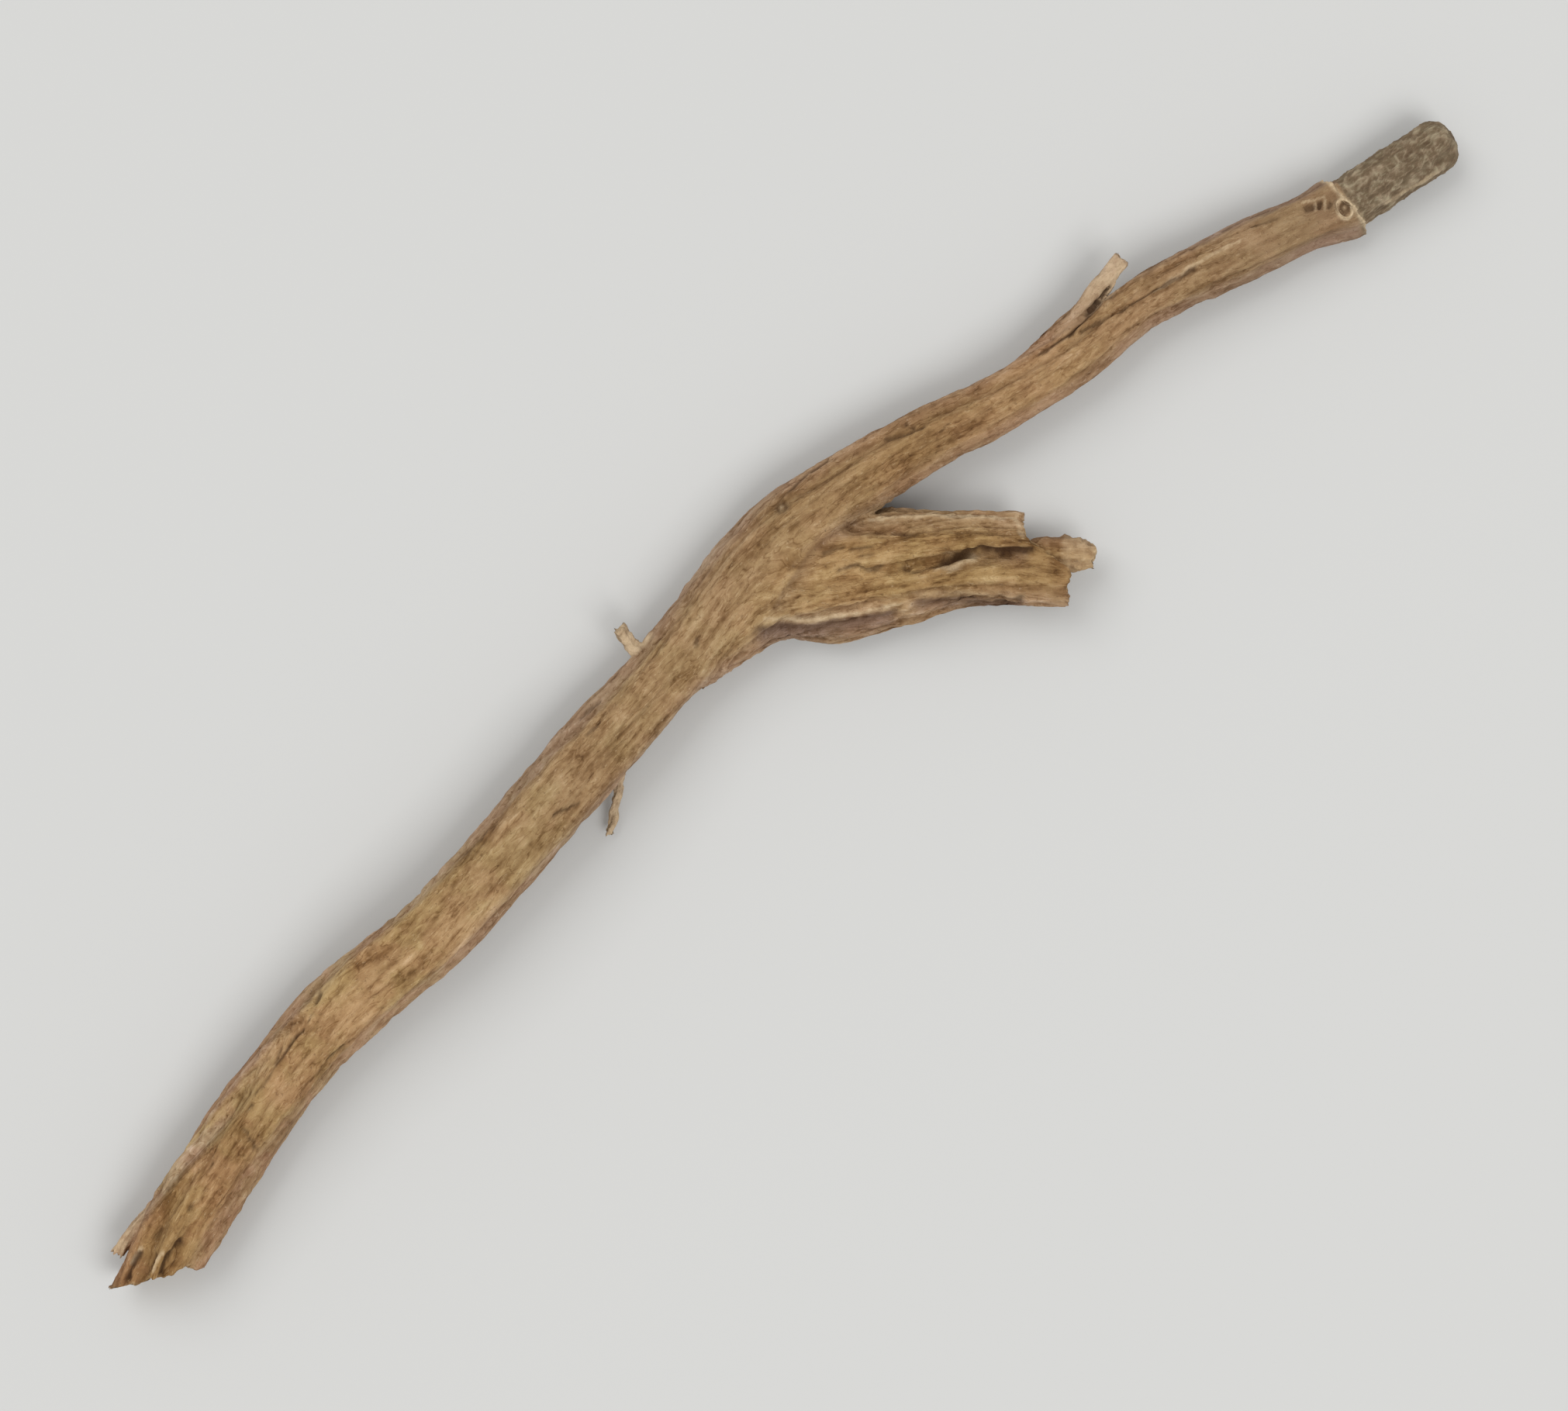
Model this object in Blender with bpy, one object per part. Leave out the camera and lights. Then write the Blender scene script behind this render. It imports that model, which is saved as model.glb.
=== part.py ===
"""Dried valerian root: one forked, furrowed root that lies on a surface. Metres, +Z up, X to the right."""

import math

import bmesh
import bpy
import numpy as np
from mathutils import Matrix, Vector, noise

# Driving dimensions, in millimetres. The shape is worked out in millimetres and scaled to metres at the end.
MM = 0.001

# Stations along an axis: x, y, gap between the underside and the surface, width across, height.
# The stem runs from its broken lower end, over the fork and the collar, to the blunt tip.
# It touches the surface at three places, where the gap is below zero: near its lower end, under the fork
# and under the collar.
STEM = (
    (-26.4, -24.1, 0.05, 3.1, 3.0),
    (-24.8, -21.1, -0.12, 3.3, 3.2),
    (-21.5, -16.3, 0.12, 3.3, 3.1),
    (-18.2, -12.6, 0.35, 3.25, 3.1),
    (-14.5, -9.4, 0.55, 3.2, 3.1),
    (-10.55, -5.05, 0.50, 3.25, 3.2),
    (-7.3, -1.4, 0.30, 3.2, 3.1),
    (-4.0, 2.4, 0.00, 3.0, 3.0),
    (-1.1, 6.1, -0.14, 3.3, 3.1),
    (1.8, 8.5, 0.02, 3.1, 3.0),
    (5.8, 11.0, 0.30, 2.6, 2.5),
    (8.3, 12.2, 0.50, 2.5, 2.4),
    (11.8, 14.3, 0.55, 2.3, 2.3),
    (15.2, 16.9, 0.40, 2.3, 2.3),
    (19.0, 18.8, 0.15, 2.5, 2.4),
    (21.9, 20.2, 0.02, 2.3, 2.3),
    (23.7, 21.1, -0.04, 2.3, 2.2),
    (26.1, 22.6, 0.2, 2.3, 2.15),
    (28.1, 23.9, 0.4, 2.25, 2.05),
)

# The short side arm leaves the stem below the fork, is broad and flat at its root, and narrows to its break.
ARM = (
    (-5.4, 0.4, 0.9, 1.7, 1.5),
    (-3.2, 2.5, 0.4, 2.6, 2.3),
    (-0.6, 4.5, 0.1, 4.0, 2.8),
    (2.1, 5.3, 0.2, 5.3, 2.8),
    (4.9, 5.75, 0.3, 4.8, 2.7),
    (7.3, 6.05, 0.35, 4.0, 2.6),
    (9.6, 6.05, 0.3, 3.9, 2.6),
    (10.9, 5.95, 0.3, 3.7, 2.5),
)

# A strip of bark that has lifted from the upper arm, free at its far end.
BARK_STRIP = (
    (7.9, 12.3, 1.6, 0.7, 0.5),
    (9.5, 13.6, 1.7, 0.9, 0.5),
    (11.1, 15.1, 1.75, 1.0, 0.5),
    (12.4, 16.4, 1.8, 0.9, 0.45),
    (13.3, 17.5, 1.85, 0.9, 0.45),
    (14.1, 18.6, 1.9, 0.8, 0.4),
)

# A splinter that stands out of the side arm's break.
SPLINTER = (
    (9.4, 5.9, 0.9, 1.3, 1.1),
    (10.9, 6.2, 1.0, 1.6, 1.2),
    (12.2, 6.25, 1.05, 1.5, 1.05),
    (13.0, 6.15, 1.2, 1.1, 0.8),
)

# Broken rootlets and a scrap of bark, each rooted inside the stem.
STUBS = (
    ((-5.0, 1.2, 1.3, 0.8, 0.8), (-6.3, 2.3, 1.5, 0.75, 0.75), (-6.9, 3.1, 1.7, 0.6, 0.6)),
    ((-26.2, -20.9, 1.2, 0.5, 0.9), (-27.1, -21.9, 1.3, 0.65, 0.8), (-28.0, -23.1, 1.2, 0.6, 0.6)),
    ((-6.6, -1.3, 1.2, 0.6, 0.6), (-6.9, -3.0, 0.9, 0.5, 0.5), (-7.1, -4.2, 0.55, 0.45, 0.45),
     (-7.4, -5.5, 0.3, 0.4, 0.4)),
)

# The collar's torn rim lies this far before the end of the tip, and stands out this much over this length.
# It is slanted: further on at the right, and further back at the left.
RIM_TO_TIP = 5.35
RIM_SLANT = 0.3
RIM_SLANT_REACH = 1.2
RIM_HEIGHT = 0.27
RIM_RISE = 2.4
RIM_SWELL_POWER = 1.4
RIM_SKEW = 0.3
RIM_LOWER = 0.55
RIM_WAVE = 0.04
RIM_WAVES = 4
TIP_STEP = 0.03

# The tip's rounded end: its length, and the rings on it as parts of that length.
TIP_DOME = 1.0
DOME_POWER = 2.5
DOME_RINGS = (0.35, 0.62, 0.82, 0.95, 1.0)
SMALLEST_ROUNDING = 0.02

# The oval scar on top of the collar.
SCAR_LENGTH = 0.62
SCAR_WIDTH = 0.84
SCAR_WIRE = 0.08
SCAR_SUNK = 0.03
SCAR_BEFORE_RIM = 0.47
SCAR_ANGLE = 80.0
SCAR_SEGMENTS = 14
SCAR_WIRE_SEGMENTS = 6

# The slanted breaks: how far one side runs on past the other, and how far back the slant reaches.
STEM_SLANT = 2.8
ARM_SLANT = 2.2
ARM_STEP_SHARPNESS = 3.0
ARM_STEP_SIDE = 0.2
SLANT_REACH = 5.5
BREAK_JAG = 0.22
JAG_FINENESS = 2.6
BREAK_AREA = 4.0
BARK_THICKNESS = 0.3
WOOD_SUNK = 0.22

# Where the side arm leaves the stem, the crease between them is eased.
FORK_MIDDLE = (-1.6, 3.2, 1.6)
FORK_REACH = 2.4
FORK_ROUNDS = 3
FORK_EASE = 0.35

# Lengthwise ridges, as parts of the local half width.
BROAD_RIDGES = 5
BROAD_HEIGHT = 0.065
BROAD_WANDER = 2.4
NARROW_RIDGES = 8
NARROW_HEIGHT = 0.04
NARROW_WANDER = 3.1
WANDER_PER_MM = 0.11
LUMP_HEIGHT = 0.07
LUMPS_PER_MM = 0.3
LUMPS_ACROSS = 1.2
THIN_ROUGHNESS = 0.12
TWIST_PER_MM = 0.018
UNDERSIDE_CALM = 0.75

# Furrows: start and end along the axis, angle (0 is the right of the way to the tip, 90 degrees is on top),
# depth as a part of the half width.
STEM_FURROWS = (
    (-2.0, 9.0, 118.0, 0.15),
    (-2.0, 5.0, 68.0, 0.13),
    (6.0, 22.0, 84.0, 0.09),
    (17.0, 33.0, 122.0, 0.1),
    (28.0, 38.0, 60.0, 0.1),
    (40.0, 61.0, 128.0, 0.08),
    (44.0, 58.0, 74.0, 0.08),
    (59.0, 67.0, 96.0, 0.06),
    (10.0, 40.0, 260.0, 0.14),
    (42.0, 64.0, 236.0, 0.14),
)
ARM_FURROWS = (
    (6.5, 19.0, 88.0, 0.3),
    (4.5, 13.5, 46.0, 0.17),
    (10.0, 19.0, 128.0, 0.12),
    (6.0, 18.0, 268.0, 0.2),
)
FURROW_WIDTH = 0.23
FURROW_SWAY = 0.12
FURROW_SWAY_PER_MM = 0.5

# How finely each limb is made.
STEM_SIDES = 34
ARM_SIDES = 36
THIN_SIDES = 8
STEM_STEP = 0.78
ARM_STEP = 0.74
THIN_STEP = 0.6
CURVE_PARTS = 24
CURVE_REACH = 0.25
MERGE_WITHIN = 0.004
SHARP_ANGLE = 35.0

BARK_COLOUR = (0.36, 0.23, 0.115, 1.0)
BARK_ROUGHNESS = 0.85


class Axis:
    """A smooth curve through stations, read by the distance along it."""

    def __init__(self, stations):
        rows = np.array(stations)
        before = 2 * rows[0] - rows[1]
        after = 2 * rows[-1] - rows[-2]
        rows = np.vstack([before, rows, after])
        spans = [
            self.span(rows[first : first + 4], part)
            for first in range(len(rows) - 3)
            for part in np.linspace(0.0, 1.0, CURVE_PARTS, endpoint=False)
        ]
        self.rows = np.array(spans + [rows[-2]])
        lengths = np.linalg.norm(np.diff(self.rows[:, :2], axis=0), axis=1)
        self.run = np.concatenate([[0.0], np.cumsum(lengths)])
        self.length = float(self.run[-1])

    @staticmethod
    def span(four, part):
        """The point at this part of the way from the second row to the third, on a curve through every row."""
        first, second, third, fourth = four
        slope = (third - first) * part
        bend = (2 * first - 5 * second + 4 * third - fourth) * part**2
        swing = (3 * second - first - 3 * third + fourth) * part**3
        return 0.5 * (2 * second + slope + bend + swing)

    def at(self, distance):
        """Centre, half width and half height at this distance."""
        x, y, gap, width, height = (float(np.interp(distance, self.run, column)) for column in self.rows.T)
        return Vector((x, y, gap + height / 2)), width / 2, height / 2

    def frame(self, distance):
        """The way along the axis, the way across it to the right, and the way up."""
        low = max(0.0, distance - CURVE_REACH)
        high = min(self.length, distance + CURVE_REACH)
        along = (self.at(high)[0] - self.at(low)[0]).normalized()
        across = along.cross(Vector((0, 0, 1))).normalized()
        return along, across, across.cross(along)


def ease(value):
    """0 below 0, 1 above 1, and a smooth step between."""
    value = min(1.0, max(0.0, value))
    return value * value * (3 - 2 * value)


def ridges(distance, angle, seed):
    """The bark's lengthwise ridges and lumps, as a factor on the half width."""
    drift = noise.noise(Vector((distance * WANDER_PER_MM, seed, 0.5)))
    turned = angle + TWIST_PER_MM * distance
    broad = BROAD_HEIGHT * math.cos(BROAD_RIDGES * turned + BROAD_WANDER * drift)
    narrow = NARROW_HEIGHT * math.cos(NARROW_RIDGES * turned - NARROW_WANDER * drift + seed)
    around = LUMPS_ACROSS * Vector((0.0, math.cos(angle), math.sin(angle)))
    lump = LUMP_HEIGHT * noise.noise(around + Vector((distance * LUMPS_PER_MM, 0.0, seed)))
    return 1.0 + broad + narrow + lump


def furrows(distance, angle, listed):
    """How deep the listed furrows cut here, as a part of the half width."""
    depth = 0.0
    for start, end, degrees, deepest in listed:
        if start < distance < end:
            sway = FURROW_SWAY * math.sin(FURROW_SWAY_PER_MM * distance + degrees)
            away = math.remainder(angle - math.radians(degrees) - sway, math.tau)
            swell = math.sin(math.pi * (distance - start) / (end - start)) ** 0.5
            depth += deepest * swell * math.exp(-((away / FURROW_WIDTH) ** 2))
    return depth


def underside(angle):
    """1 at the very bottom of a limb, 0 on its upper half, to keep ridges off the resting places."""
    return ease(-math.sin(angle))


def collar(distance, angle, rim):
    """How far the collar stands out, in millimetres: it swells towards its torn rim, and drops to the tip.

    It stands out most on the right, and little underneath, where the root rests on it.
    """
    if distance > rim:
        return 0.0
    swell = ease((distance - rim + RIM_RISE) / RIM_RISE) ** RIM_SWELL_POWER
    skew = (1.0 + RIM_SKEW * math.cos(angle)) * (1.0 - RIM_LOWER * underside(angle))
    return swell * (RIM_HEIGHT * skew + RIM_WAVE * math.sin(RIM_WAVES * angle + 1.0))


def jag(angle, seed):
    """The ragged line of a break."""
    around = JAG_FINENESS * Vector((math.cos(angle), math.sin(angle), 0.0))
    return BREAK_JAG * noise.noise(around + Vector((0.0, 0.0, seed)))


def stem_corner(axis, distance, angle):
    """The place of one corner of the stem's ring."""
    rim = axis.length - RIM_TO_TIP
    centre, half_width, half_height = axis.at(distance)
    along, across, over = axis.frame(distance)
    calm = 1.0 - UNDERSIDE_CALM * underside(angle)
    shape = 1.0 + calm * (ridges(distance, angle, 3.7) - 1.0)
    shape -= furrows(distance, angle, STEM_FURROWS)
    swell = collar(distance, angle, rim)
    dome = max(0.0, 1.0 - (axis.length - distance) / TIP_DOME)
    rounding = math.sqrt(max(SMALLEST_ROUNDING, 1.0 - dome**DOME_POWER))
    wide = (half_width * shape + swell) * rounding
    high = (half_height * shape + swell) * rounding
    back = 1.0 - min(1.0, distance / SLANT_REACH)
    shift = (0.5 * STEM_SLANT * math.cos(angle) + jag(angle, 1.0)) * back
    shift += RIM_SLANT * math.cos(angle) * math.exp(-(((distance - rim) / RIM_SLANT_REACH) ** 2))
    return centre + wide * math.cos(angle) * across + high * math.sin(angle) * over + shift * along


def arm_corner(axis, distance, angle):
    """The place of one corner of the side arm's ring."""
    centre, half_width, half_height = axis.at(distance)
    along, across, over = axis.frame(distance)
    shape = ridges(distance, angle, 8.2) - furrows(distance, angle, ARM_FURROWS)
    back = 1.0 - min(1.0, (axis.length - distance) / SLANT_REACH)
    step = math.tanh(ARM_STEP_SHARPNESS * (math.cos(angle) + ARM_STEP_SIDE))
    shift = (0.5 * ARM_SLANT * step + jag(angle, 5.0)) * back
    wide = half_width * shape
    high = half_height * shape
    return centre + wide * math.cos(angle) * across + high * math.sin(angle) * over + shift * along


def thin_corner(axis, distance, angle):
    """The place of one corner of a rootlet's, splinter's or bark strip's ring."""
    centre, half_width, half_height = axis.at(distance)
    along, across, over = axis.frame(distance)
    place = Vector((distance, 2.0 * math.cos(angle), 2.0 * math.sin(angle)))
    shape = 1.0 + THIN_ROUGHNESS * noise.noise(place)
    wide = half_width * shape
    high = half_height * shape
    return centre + wide * math.cos(angle) * across + high * math.sin(angle) * over


def even_stops(start, end, step):
    """Distances from start to end, about a step apart."""
    count = max(1, round((end - start) / step))
    return [start + (end - start) * number / count for number in range(count + 1)]


def grow_limb(name, axis, sides, stops, corner_of):
    """One closed limb: a ring extruded from stop to stop, its corners placed by the rule corner_of."""
    mesh = bmesh.new()
    number_of = mesh.verts.layers.int.new("number")
    ring = bmesh.ops.create_circle(mesh, segments=sides, radius=1.0)["verts"]
    for number, vertex in enumerate(ring):
        vertex[number_of] = number
    edges = mesh.edges[:]
    ends = []
    for stop in stops:
        if stop != stops[0]:
            grown = bmesh.ops.extrude_edge_only(mesh, edges=edges)["geom"]
            ring = [item for item in grown if isinstance(item, bmesh.types.BMVert)]
            fresh = set(ring)
            edges = [item for item in grown if isinstance(item, bmesh.types.BMEdge)]
            edges = [edge for edge in edges if set(edge.verts) <= fresh]
        for vertex in ring:
            vertex.co = corner_of(axis, stop, math.tau * vertex[number_of] / sides)
        if stop in (stops[0], stops[-1]):
            ends.append(list(edges))
    for loop in ends:
        close_end(mesh, loop)
    bmesh.ops.recalc_face_normals(mesh, faces=mesh.faces)
    data = bpy.data.meshes.new(name)
    mesh.to_mesh(data)
    mesh.free()
    return bpy.data.objects.new(name, data)


def close_end(mesh, loop):
    """Caps an open end. On a broad break the wood inside the bark's rim lies a little deeper."""
    cap = bmesh.ops.edgeloop_fill(mesh, edges=loop)["faces"]
    if cap[0].calc_area() < BREAK_AREA:
        return
    cap[0].normal_update()
    outward = cap[0].normal.copy()
    middle = cap[0].calc_center_median()
    body = sum((vertex.co for vertex in mesh.verts), Vector()) / len(mesh.verts)
    if outward.dot(middle - body) < 0:
        outward.negate()
    bmesh.ops.inset_individual(mesh, faces=cap, thickness=BARK_THICKNESS)
    for vertex in cap[0].verts:
        vertex.co -= outward * WOOD_SUNK


def scar_ring(axis):
    """The oval scar's rim, a ring half sunk in the top of the collar."""
    at = axis.length - RIM_TO_TIP - SCAR_BEFORE_RIM
    top = stem_corner(axis, at, math.radians(SCAR_ANGLE))
    along, across, over = axis.frame(at)
    bpy.ops.mesh.primitive_torus_add(
        major_segments=SCAR_SEGMENTS,
        minor_segments=SCAR_WIRE_SEGMENTS,
        major_radius=SCAR_WIDTH / 2,
        minor_radius=SCAR_WIRE,
    )
    ring = bpy.context.object
    ring.name = "scar"
    turned = Matrix((along, across, over)).transposed().to_4x4()
    stretched = Matrix.Diagonal((SCAR_LENGTH / SCAR_WIDTH, 1.0, 1.0, 1.0))
    ring.data.transform(Matrix.Translation(top - over * SCAR_SUNK) @ turned @ stretched)
    return ring


def join_all(trunk, pieces):
    """One solid from the trunk and the pieces that are rooted in it."""
    rooted = bpy.data.collections.new("rooted")
    bpy.context.scene.collection.children.link(rooted)
    for piece in pieces:
        for holder in list(piece.users_collection):
            holder.objects.unlink(piece)
        rooted.objects.link(piece)
    union = trunk.modifiers.new("union", "BOOLEAN")
    union.operation = "UNION"
    union.solver = "EXACT"
    union.operand_type = "COLLECTION"
    union.collection = rooted
    joined = bpy.data.meshes.new_from_object(trunk.evaluated_get(bpy.context.evaluated_depsgraph_get()))
    trunk.modifiers.remove(union)
    trunk.data = joined
    for piece in pieces:
        bpy.data.objects.remove(piece)
    bpy.data.collections.remove(rooted)


def soften_fork(mesh):
    """Eases the crease where the side arm grows out of the stem, on the side where the two flow together."""
    middle = Vector(FORK_MIDDLE)
    near = [vertex for vertex in mesh.verts if (vertex.co - middle).length < FORK_REACH]
    for _ in range(FORK_ROUNDS):
        bmesh.ops.smooth_vert(
            mesh, verts=near, factor=FORK_EASE, use_axis_x=True, use_axis_y=True, use_axis_z=True
        )


def rest_on_surface(mesh):
    """Cuts the low places flat at z = 0, so that the root lies on them."""
    whole = mesh.verts[:] + mesh.edges[:] + mesh.faces[:]
    cut = bmesh.ops.bisect_plane(
        mesh, geom=whole, dist=0.001, plane_co=(0, 0, 0), plane_no=(0, 0, 1), clear_inner=True
    )
    rims = [item for item in cut["geom_cut"] if isinstance(item, bmesh.types.BMEdge)]
    bmesh.ops.edgeloop_fill(mesh, edges=rims)


def centre_on_origin(mesh):
    """Moves the middle of the root's length and breadth over the origin."""
    places = np.array([vertex.co for vertex in mesh.verts])
    middle = (places.min(axis=0) + places.max(axis=0)) / 2
    bmesh.ops.translate(mesh, verts=mesh.verts, vec=(-middle[0], -middle[1], 0.0))


def bark_material():
    material = bpy.data.materials.new("bark")
    material.use_nodes = True
    surface = material.node_tree.nodes["Principled BSDF"]
    surface.inputs["Base Color"].default_value = BARK_COLOUR
    surface.inputs["Roughness"].default_value = BARK_ROUGHNESS
    surface.inputs["Metallic"].default_value = 0.0
    return material


def build_root(parts):
    stem = Axis(STEM)
    rim = stem.length - RIM_TO_TIP
    dome_starts = stem.length - TIP_DOME
    dome = [dome_starts + TIP_DOME * share for share in DOME_RINGS]
    stem_stops = even_stops(0.0, rim, STEM_STEP) + even_stops(rim + TIP_STEP, dome_starts, STEM_STEP) + dome
    root = grow_limb("root", stem, STEM_SIDES, stem_stops, stem_corner)
    parts.objects.link(root)

    arm = Axis(ARM)
    pieces = [grow_limb("arm", arm, ARM_SIDES, even_stops(0.0, arm.length, ARM_STEP), arm_corner)]
    for number, stations in enumerate((BARK_STRIP, SPLINTER, *STUBS)):
        thin = Axis(stations)
        stops = even_stops(0.0, thin.length, THIN_STEP)
        pieces.append(grow_limb(f"thin_{number}", thin, THIN_SIDES, stops, thin_corner))
    for piece in pieces:
        bpy.context.scene.collection.objects.link(piece)
    pieces.append(scar_ring(stem))
    join_all(root, pieces)

    mesh = bmesh.new()
    mesh.from_mesh(root.data)
    bmesh.ops.remove_doubles(mesh, verts=mesh.verts, dist=MERGE_WITHIN)
    soften_fork(mesh)
    rest_on_surface(mesh)
    bmesh.ops.dissolve_degenerate(mesh, edges=mesh.edges, dist=MERGE_WITHIN)
    bmesh.ops.triangulate(mesh, faces=mesh.faces)
    bmesh.ops.recalc_face_normals(mesh, faces=mesh.faces)
    centre_on_origin(mesh)
    bmesh.ops.scale(mesh, verts=mesh.verts, vec=(MM, MM, MM))
    mesh.to_mesh(root.data)
    mesh.free()
    root.data.shade_smooth()
    root.data.set_sharp_from_angle(angle=math.radians(SHARP_ANGLE))
    root.data.materials.clear()
    root.data.materials.append(bark_material())
    return root


def main():
    for old in list(bpy.data.objects):
        bpy.data.objects.remove(old)
    parts = bpy.data.collections.new("dried_valerian_root")
    bpy.context.scene.collection.children.link(parts)
    build_root(parts)


main()
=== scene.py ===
"""The looks of a dried valerian root: one forked root with furrowed, dusty bark, seen from above."""

import math

import bmesh
import bpy
import numpy as np
from mathutils import Matrix, Vector, noise


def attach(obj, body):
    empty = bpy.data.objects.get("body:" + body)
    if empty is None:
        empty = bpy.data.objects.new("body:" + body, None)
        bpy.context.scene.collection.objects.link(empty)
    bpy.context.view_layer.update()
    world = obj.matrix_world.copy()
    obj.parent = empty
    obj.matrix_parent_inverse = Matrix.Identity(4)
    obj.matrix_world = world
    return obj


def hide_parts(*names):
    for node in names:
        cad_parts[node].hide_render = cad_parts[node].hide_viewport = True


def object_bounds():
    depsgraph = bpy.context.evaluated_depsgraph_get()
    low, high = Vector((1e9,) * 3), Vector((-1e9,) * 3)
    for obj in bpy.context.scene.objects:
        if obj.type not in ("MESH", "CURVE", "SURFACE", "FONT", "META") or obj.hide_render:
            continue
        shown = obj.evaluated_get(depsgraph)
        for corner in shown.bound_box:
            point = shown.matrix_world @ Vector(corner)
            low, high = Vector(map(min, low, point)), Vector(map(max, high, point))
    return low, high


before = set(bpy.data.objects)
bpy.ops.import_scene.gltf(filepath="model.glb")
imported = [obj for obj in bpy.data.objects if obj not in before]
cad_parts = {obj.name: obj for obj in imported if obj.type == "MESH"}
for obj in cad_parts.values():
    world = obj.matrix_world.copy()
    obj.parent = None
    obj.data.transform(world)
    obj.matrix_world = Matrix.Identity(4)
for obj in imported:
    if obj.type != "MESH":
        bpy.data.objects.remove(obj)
cad_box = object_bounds()

# The root is shaped in millimetres, then scaled to metres and centred as the CAD part is.
MM = 0.001
CENTRING = Vector((0.0185, 0.1181, 0.0))
# How far inside the CAD part's box every place stays, except down on the floor.
INSIDE_BOX = 0.0005

# Stations along an axis: x, y, gap between the underside and the surface, width across, height.
STEM = (
    (-26.4, -24.1, 0.05, 3.1, 3.0),
    (-24.8, -21.1, -0.12, 3.3, 3.2),
    (-21.5, -16.3, 0.12, 3.3, 3.1),
    (-18.2, -12.6, 0.35, 3.25, 3.1),
    (-14.5, -9.4, 0.55, 3.2, 3.1),
    (-10.55, -5.05, 0.50, 3.25, 3.2),
    (-7.3, -1.4, 0.30, 3.2, 3.1),
    (-4.0, 2.4, 0.00, 3.0, 3.0),
    (-1.1, 6.1, -0.14, 3.3, 3.1),
    (1.8, 8.5, 0.02, 3.1, 3.0),
    (5.8, 11.0, 0.30, 2.6, 2.5),
    (8.3, 12.2, 0.50, 2.5, 2.4),
    (11.8, 14.3, 0.55, 2.3, 2.3),
    (15.2, 16.9, 0.40, 2.3, 2.3),
    (19.0, 18.8, 0.15, 2.5, 2.4),
    (21.9, 20.2, 0.02, 2.3, 2.3),
    (23.7, 21.1, -0.04, 2.3, 2.2),
    (26.1, 22.6, 0.2, 2.3, 2.15),
    (28.1, 23.9, 0.4, 2.25, 2.05),
)
ARM = (
    (-5.4, 0.4, 0.9, 1.7, 1.5),
    (-3.2, 2.5, 0.4, 2.6, 2.3),
    (-0.6, 4.5, 0.1, 4.0, 2.8),
    (2.1, 5.3, 0.2, 5.3, 2.8),
    (4.9, 5.75, 0.3, 4.8, 2.7),
    (7.3, 6.05, 0.35, 4.0, 2.6),
    (9.6, 6.05, 0.3, 3.9, 2.6),
    (10.9, 5.95, 0.3, 3.7, 2.5),
)
BARK_STRIP = (
    (7.9, 12.3, 1.6, 0.7, 0.5),
    (9.5, 13.6, 1.7, 0.9, 0.5),
    (11.1, 15.1, 1.75, 1.0, 0.5),
    (12.4, 16.4, 1.8, 0.9, 0.45),
    (13.3, 17.5, 1.85, 0.9, 0.45),
    (14.1, 18.6, 1.9, 0.8, 0.4),
)
SPLINTER = (
    (9.4, 5.9, 0.9, 1.3, 1.1),
    (10.9, 6.2, 1.0, 1.6, 1.2),
    (12.2, 6.25, 1.05, 1.5, 1.05),
    (13.0, 6.15, 1.2, 1.1, 0.8),
)
STUBS = (
    ((-5.0, 1.2, 1.3, 0.8, 0.8), (-6.3, 2.3, 1.5, 0.75, 0.75), (-6.9, 3.1, 1.7, 0.6, 0.6)),
    ((-26.2, -20.9, 1.2, 0.5, 0.9), (-27.1, -21.9, 1.3, 0.65, 0.8), (-28.0, -23.1, 1.2, 0.6, 0.6)),
    ((-6.6, -1.3, 1.2, 0.6, 0.6), (-6.9, -3.0, 0.9, 0.5, 0.5), (-7.1, -4.2, 0.55, 0.45, 0.45),
     (-7.4, -5.5, 0.3, 0.4, 0.4)),
)

# The collar and the tip that comes out of it.
RIM_TO_TIP = 5.35
RIM_HEIGHT = 0.27
RIM_RISE = 2.4
RIM_SWELL_POWER = 1.4
RIM_SKEW = 0.3
RIM_LOWER = 0.55
RIM_WAVE = 0.04
RIM_WAVES = 4
RIM_JAG = 0.16
RIM_JAG_FINENESS = 3.5
RIM_JAG_REACH = 0.6
RIM_SLANT = 0.3
RIM_SLANT_REACH = 1.2
TIP_DOME = 1.0
DOME_POWER = 2.5
SMALLEST_ROUNDING = 0.02

# The oval scar on top of the collar.
SCAR_LENGTH = 0.62
SCAR_WIDTH = 0.84
SCAR_WIRE = 0.08
SCAR_SUNK = 0.03
SCAR_BEFORE_RIM = 0.47
SCAR_ANGLE = 80.0
SCAR_HOLLOW_DEPTH = 0.06

# The slanted breaks.
STEM_SLANT = 2.8
ARM_SLANT = 2.2
ARM_STEP_SHARPNESS = 3.0
ARM_STEP_SIDE = 0.2
SLANT_REACH = 5.5
BREAK_JAG = 0.22
JAG_FINENESS = 2.6
FINE_JAG = 0.45
FINE_JAG_FINENESS = 9.0
WOOD_EDGE = 0.85
WOOD_SUNK = 0.22
WOOD_STEP = 0.08
FIBRE_HEIGHT = 0.16
FIBRE_FINENESS = 5.0
SPLIT_HEIGHT = 0.07
SPLIT_FINENESS = 14.0
FIBRE_FADE = 0.3

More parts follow.
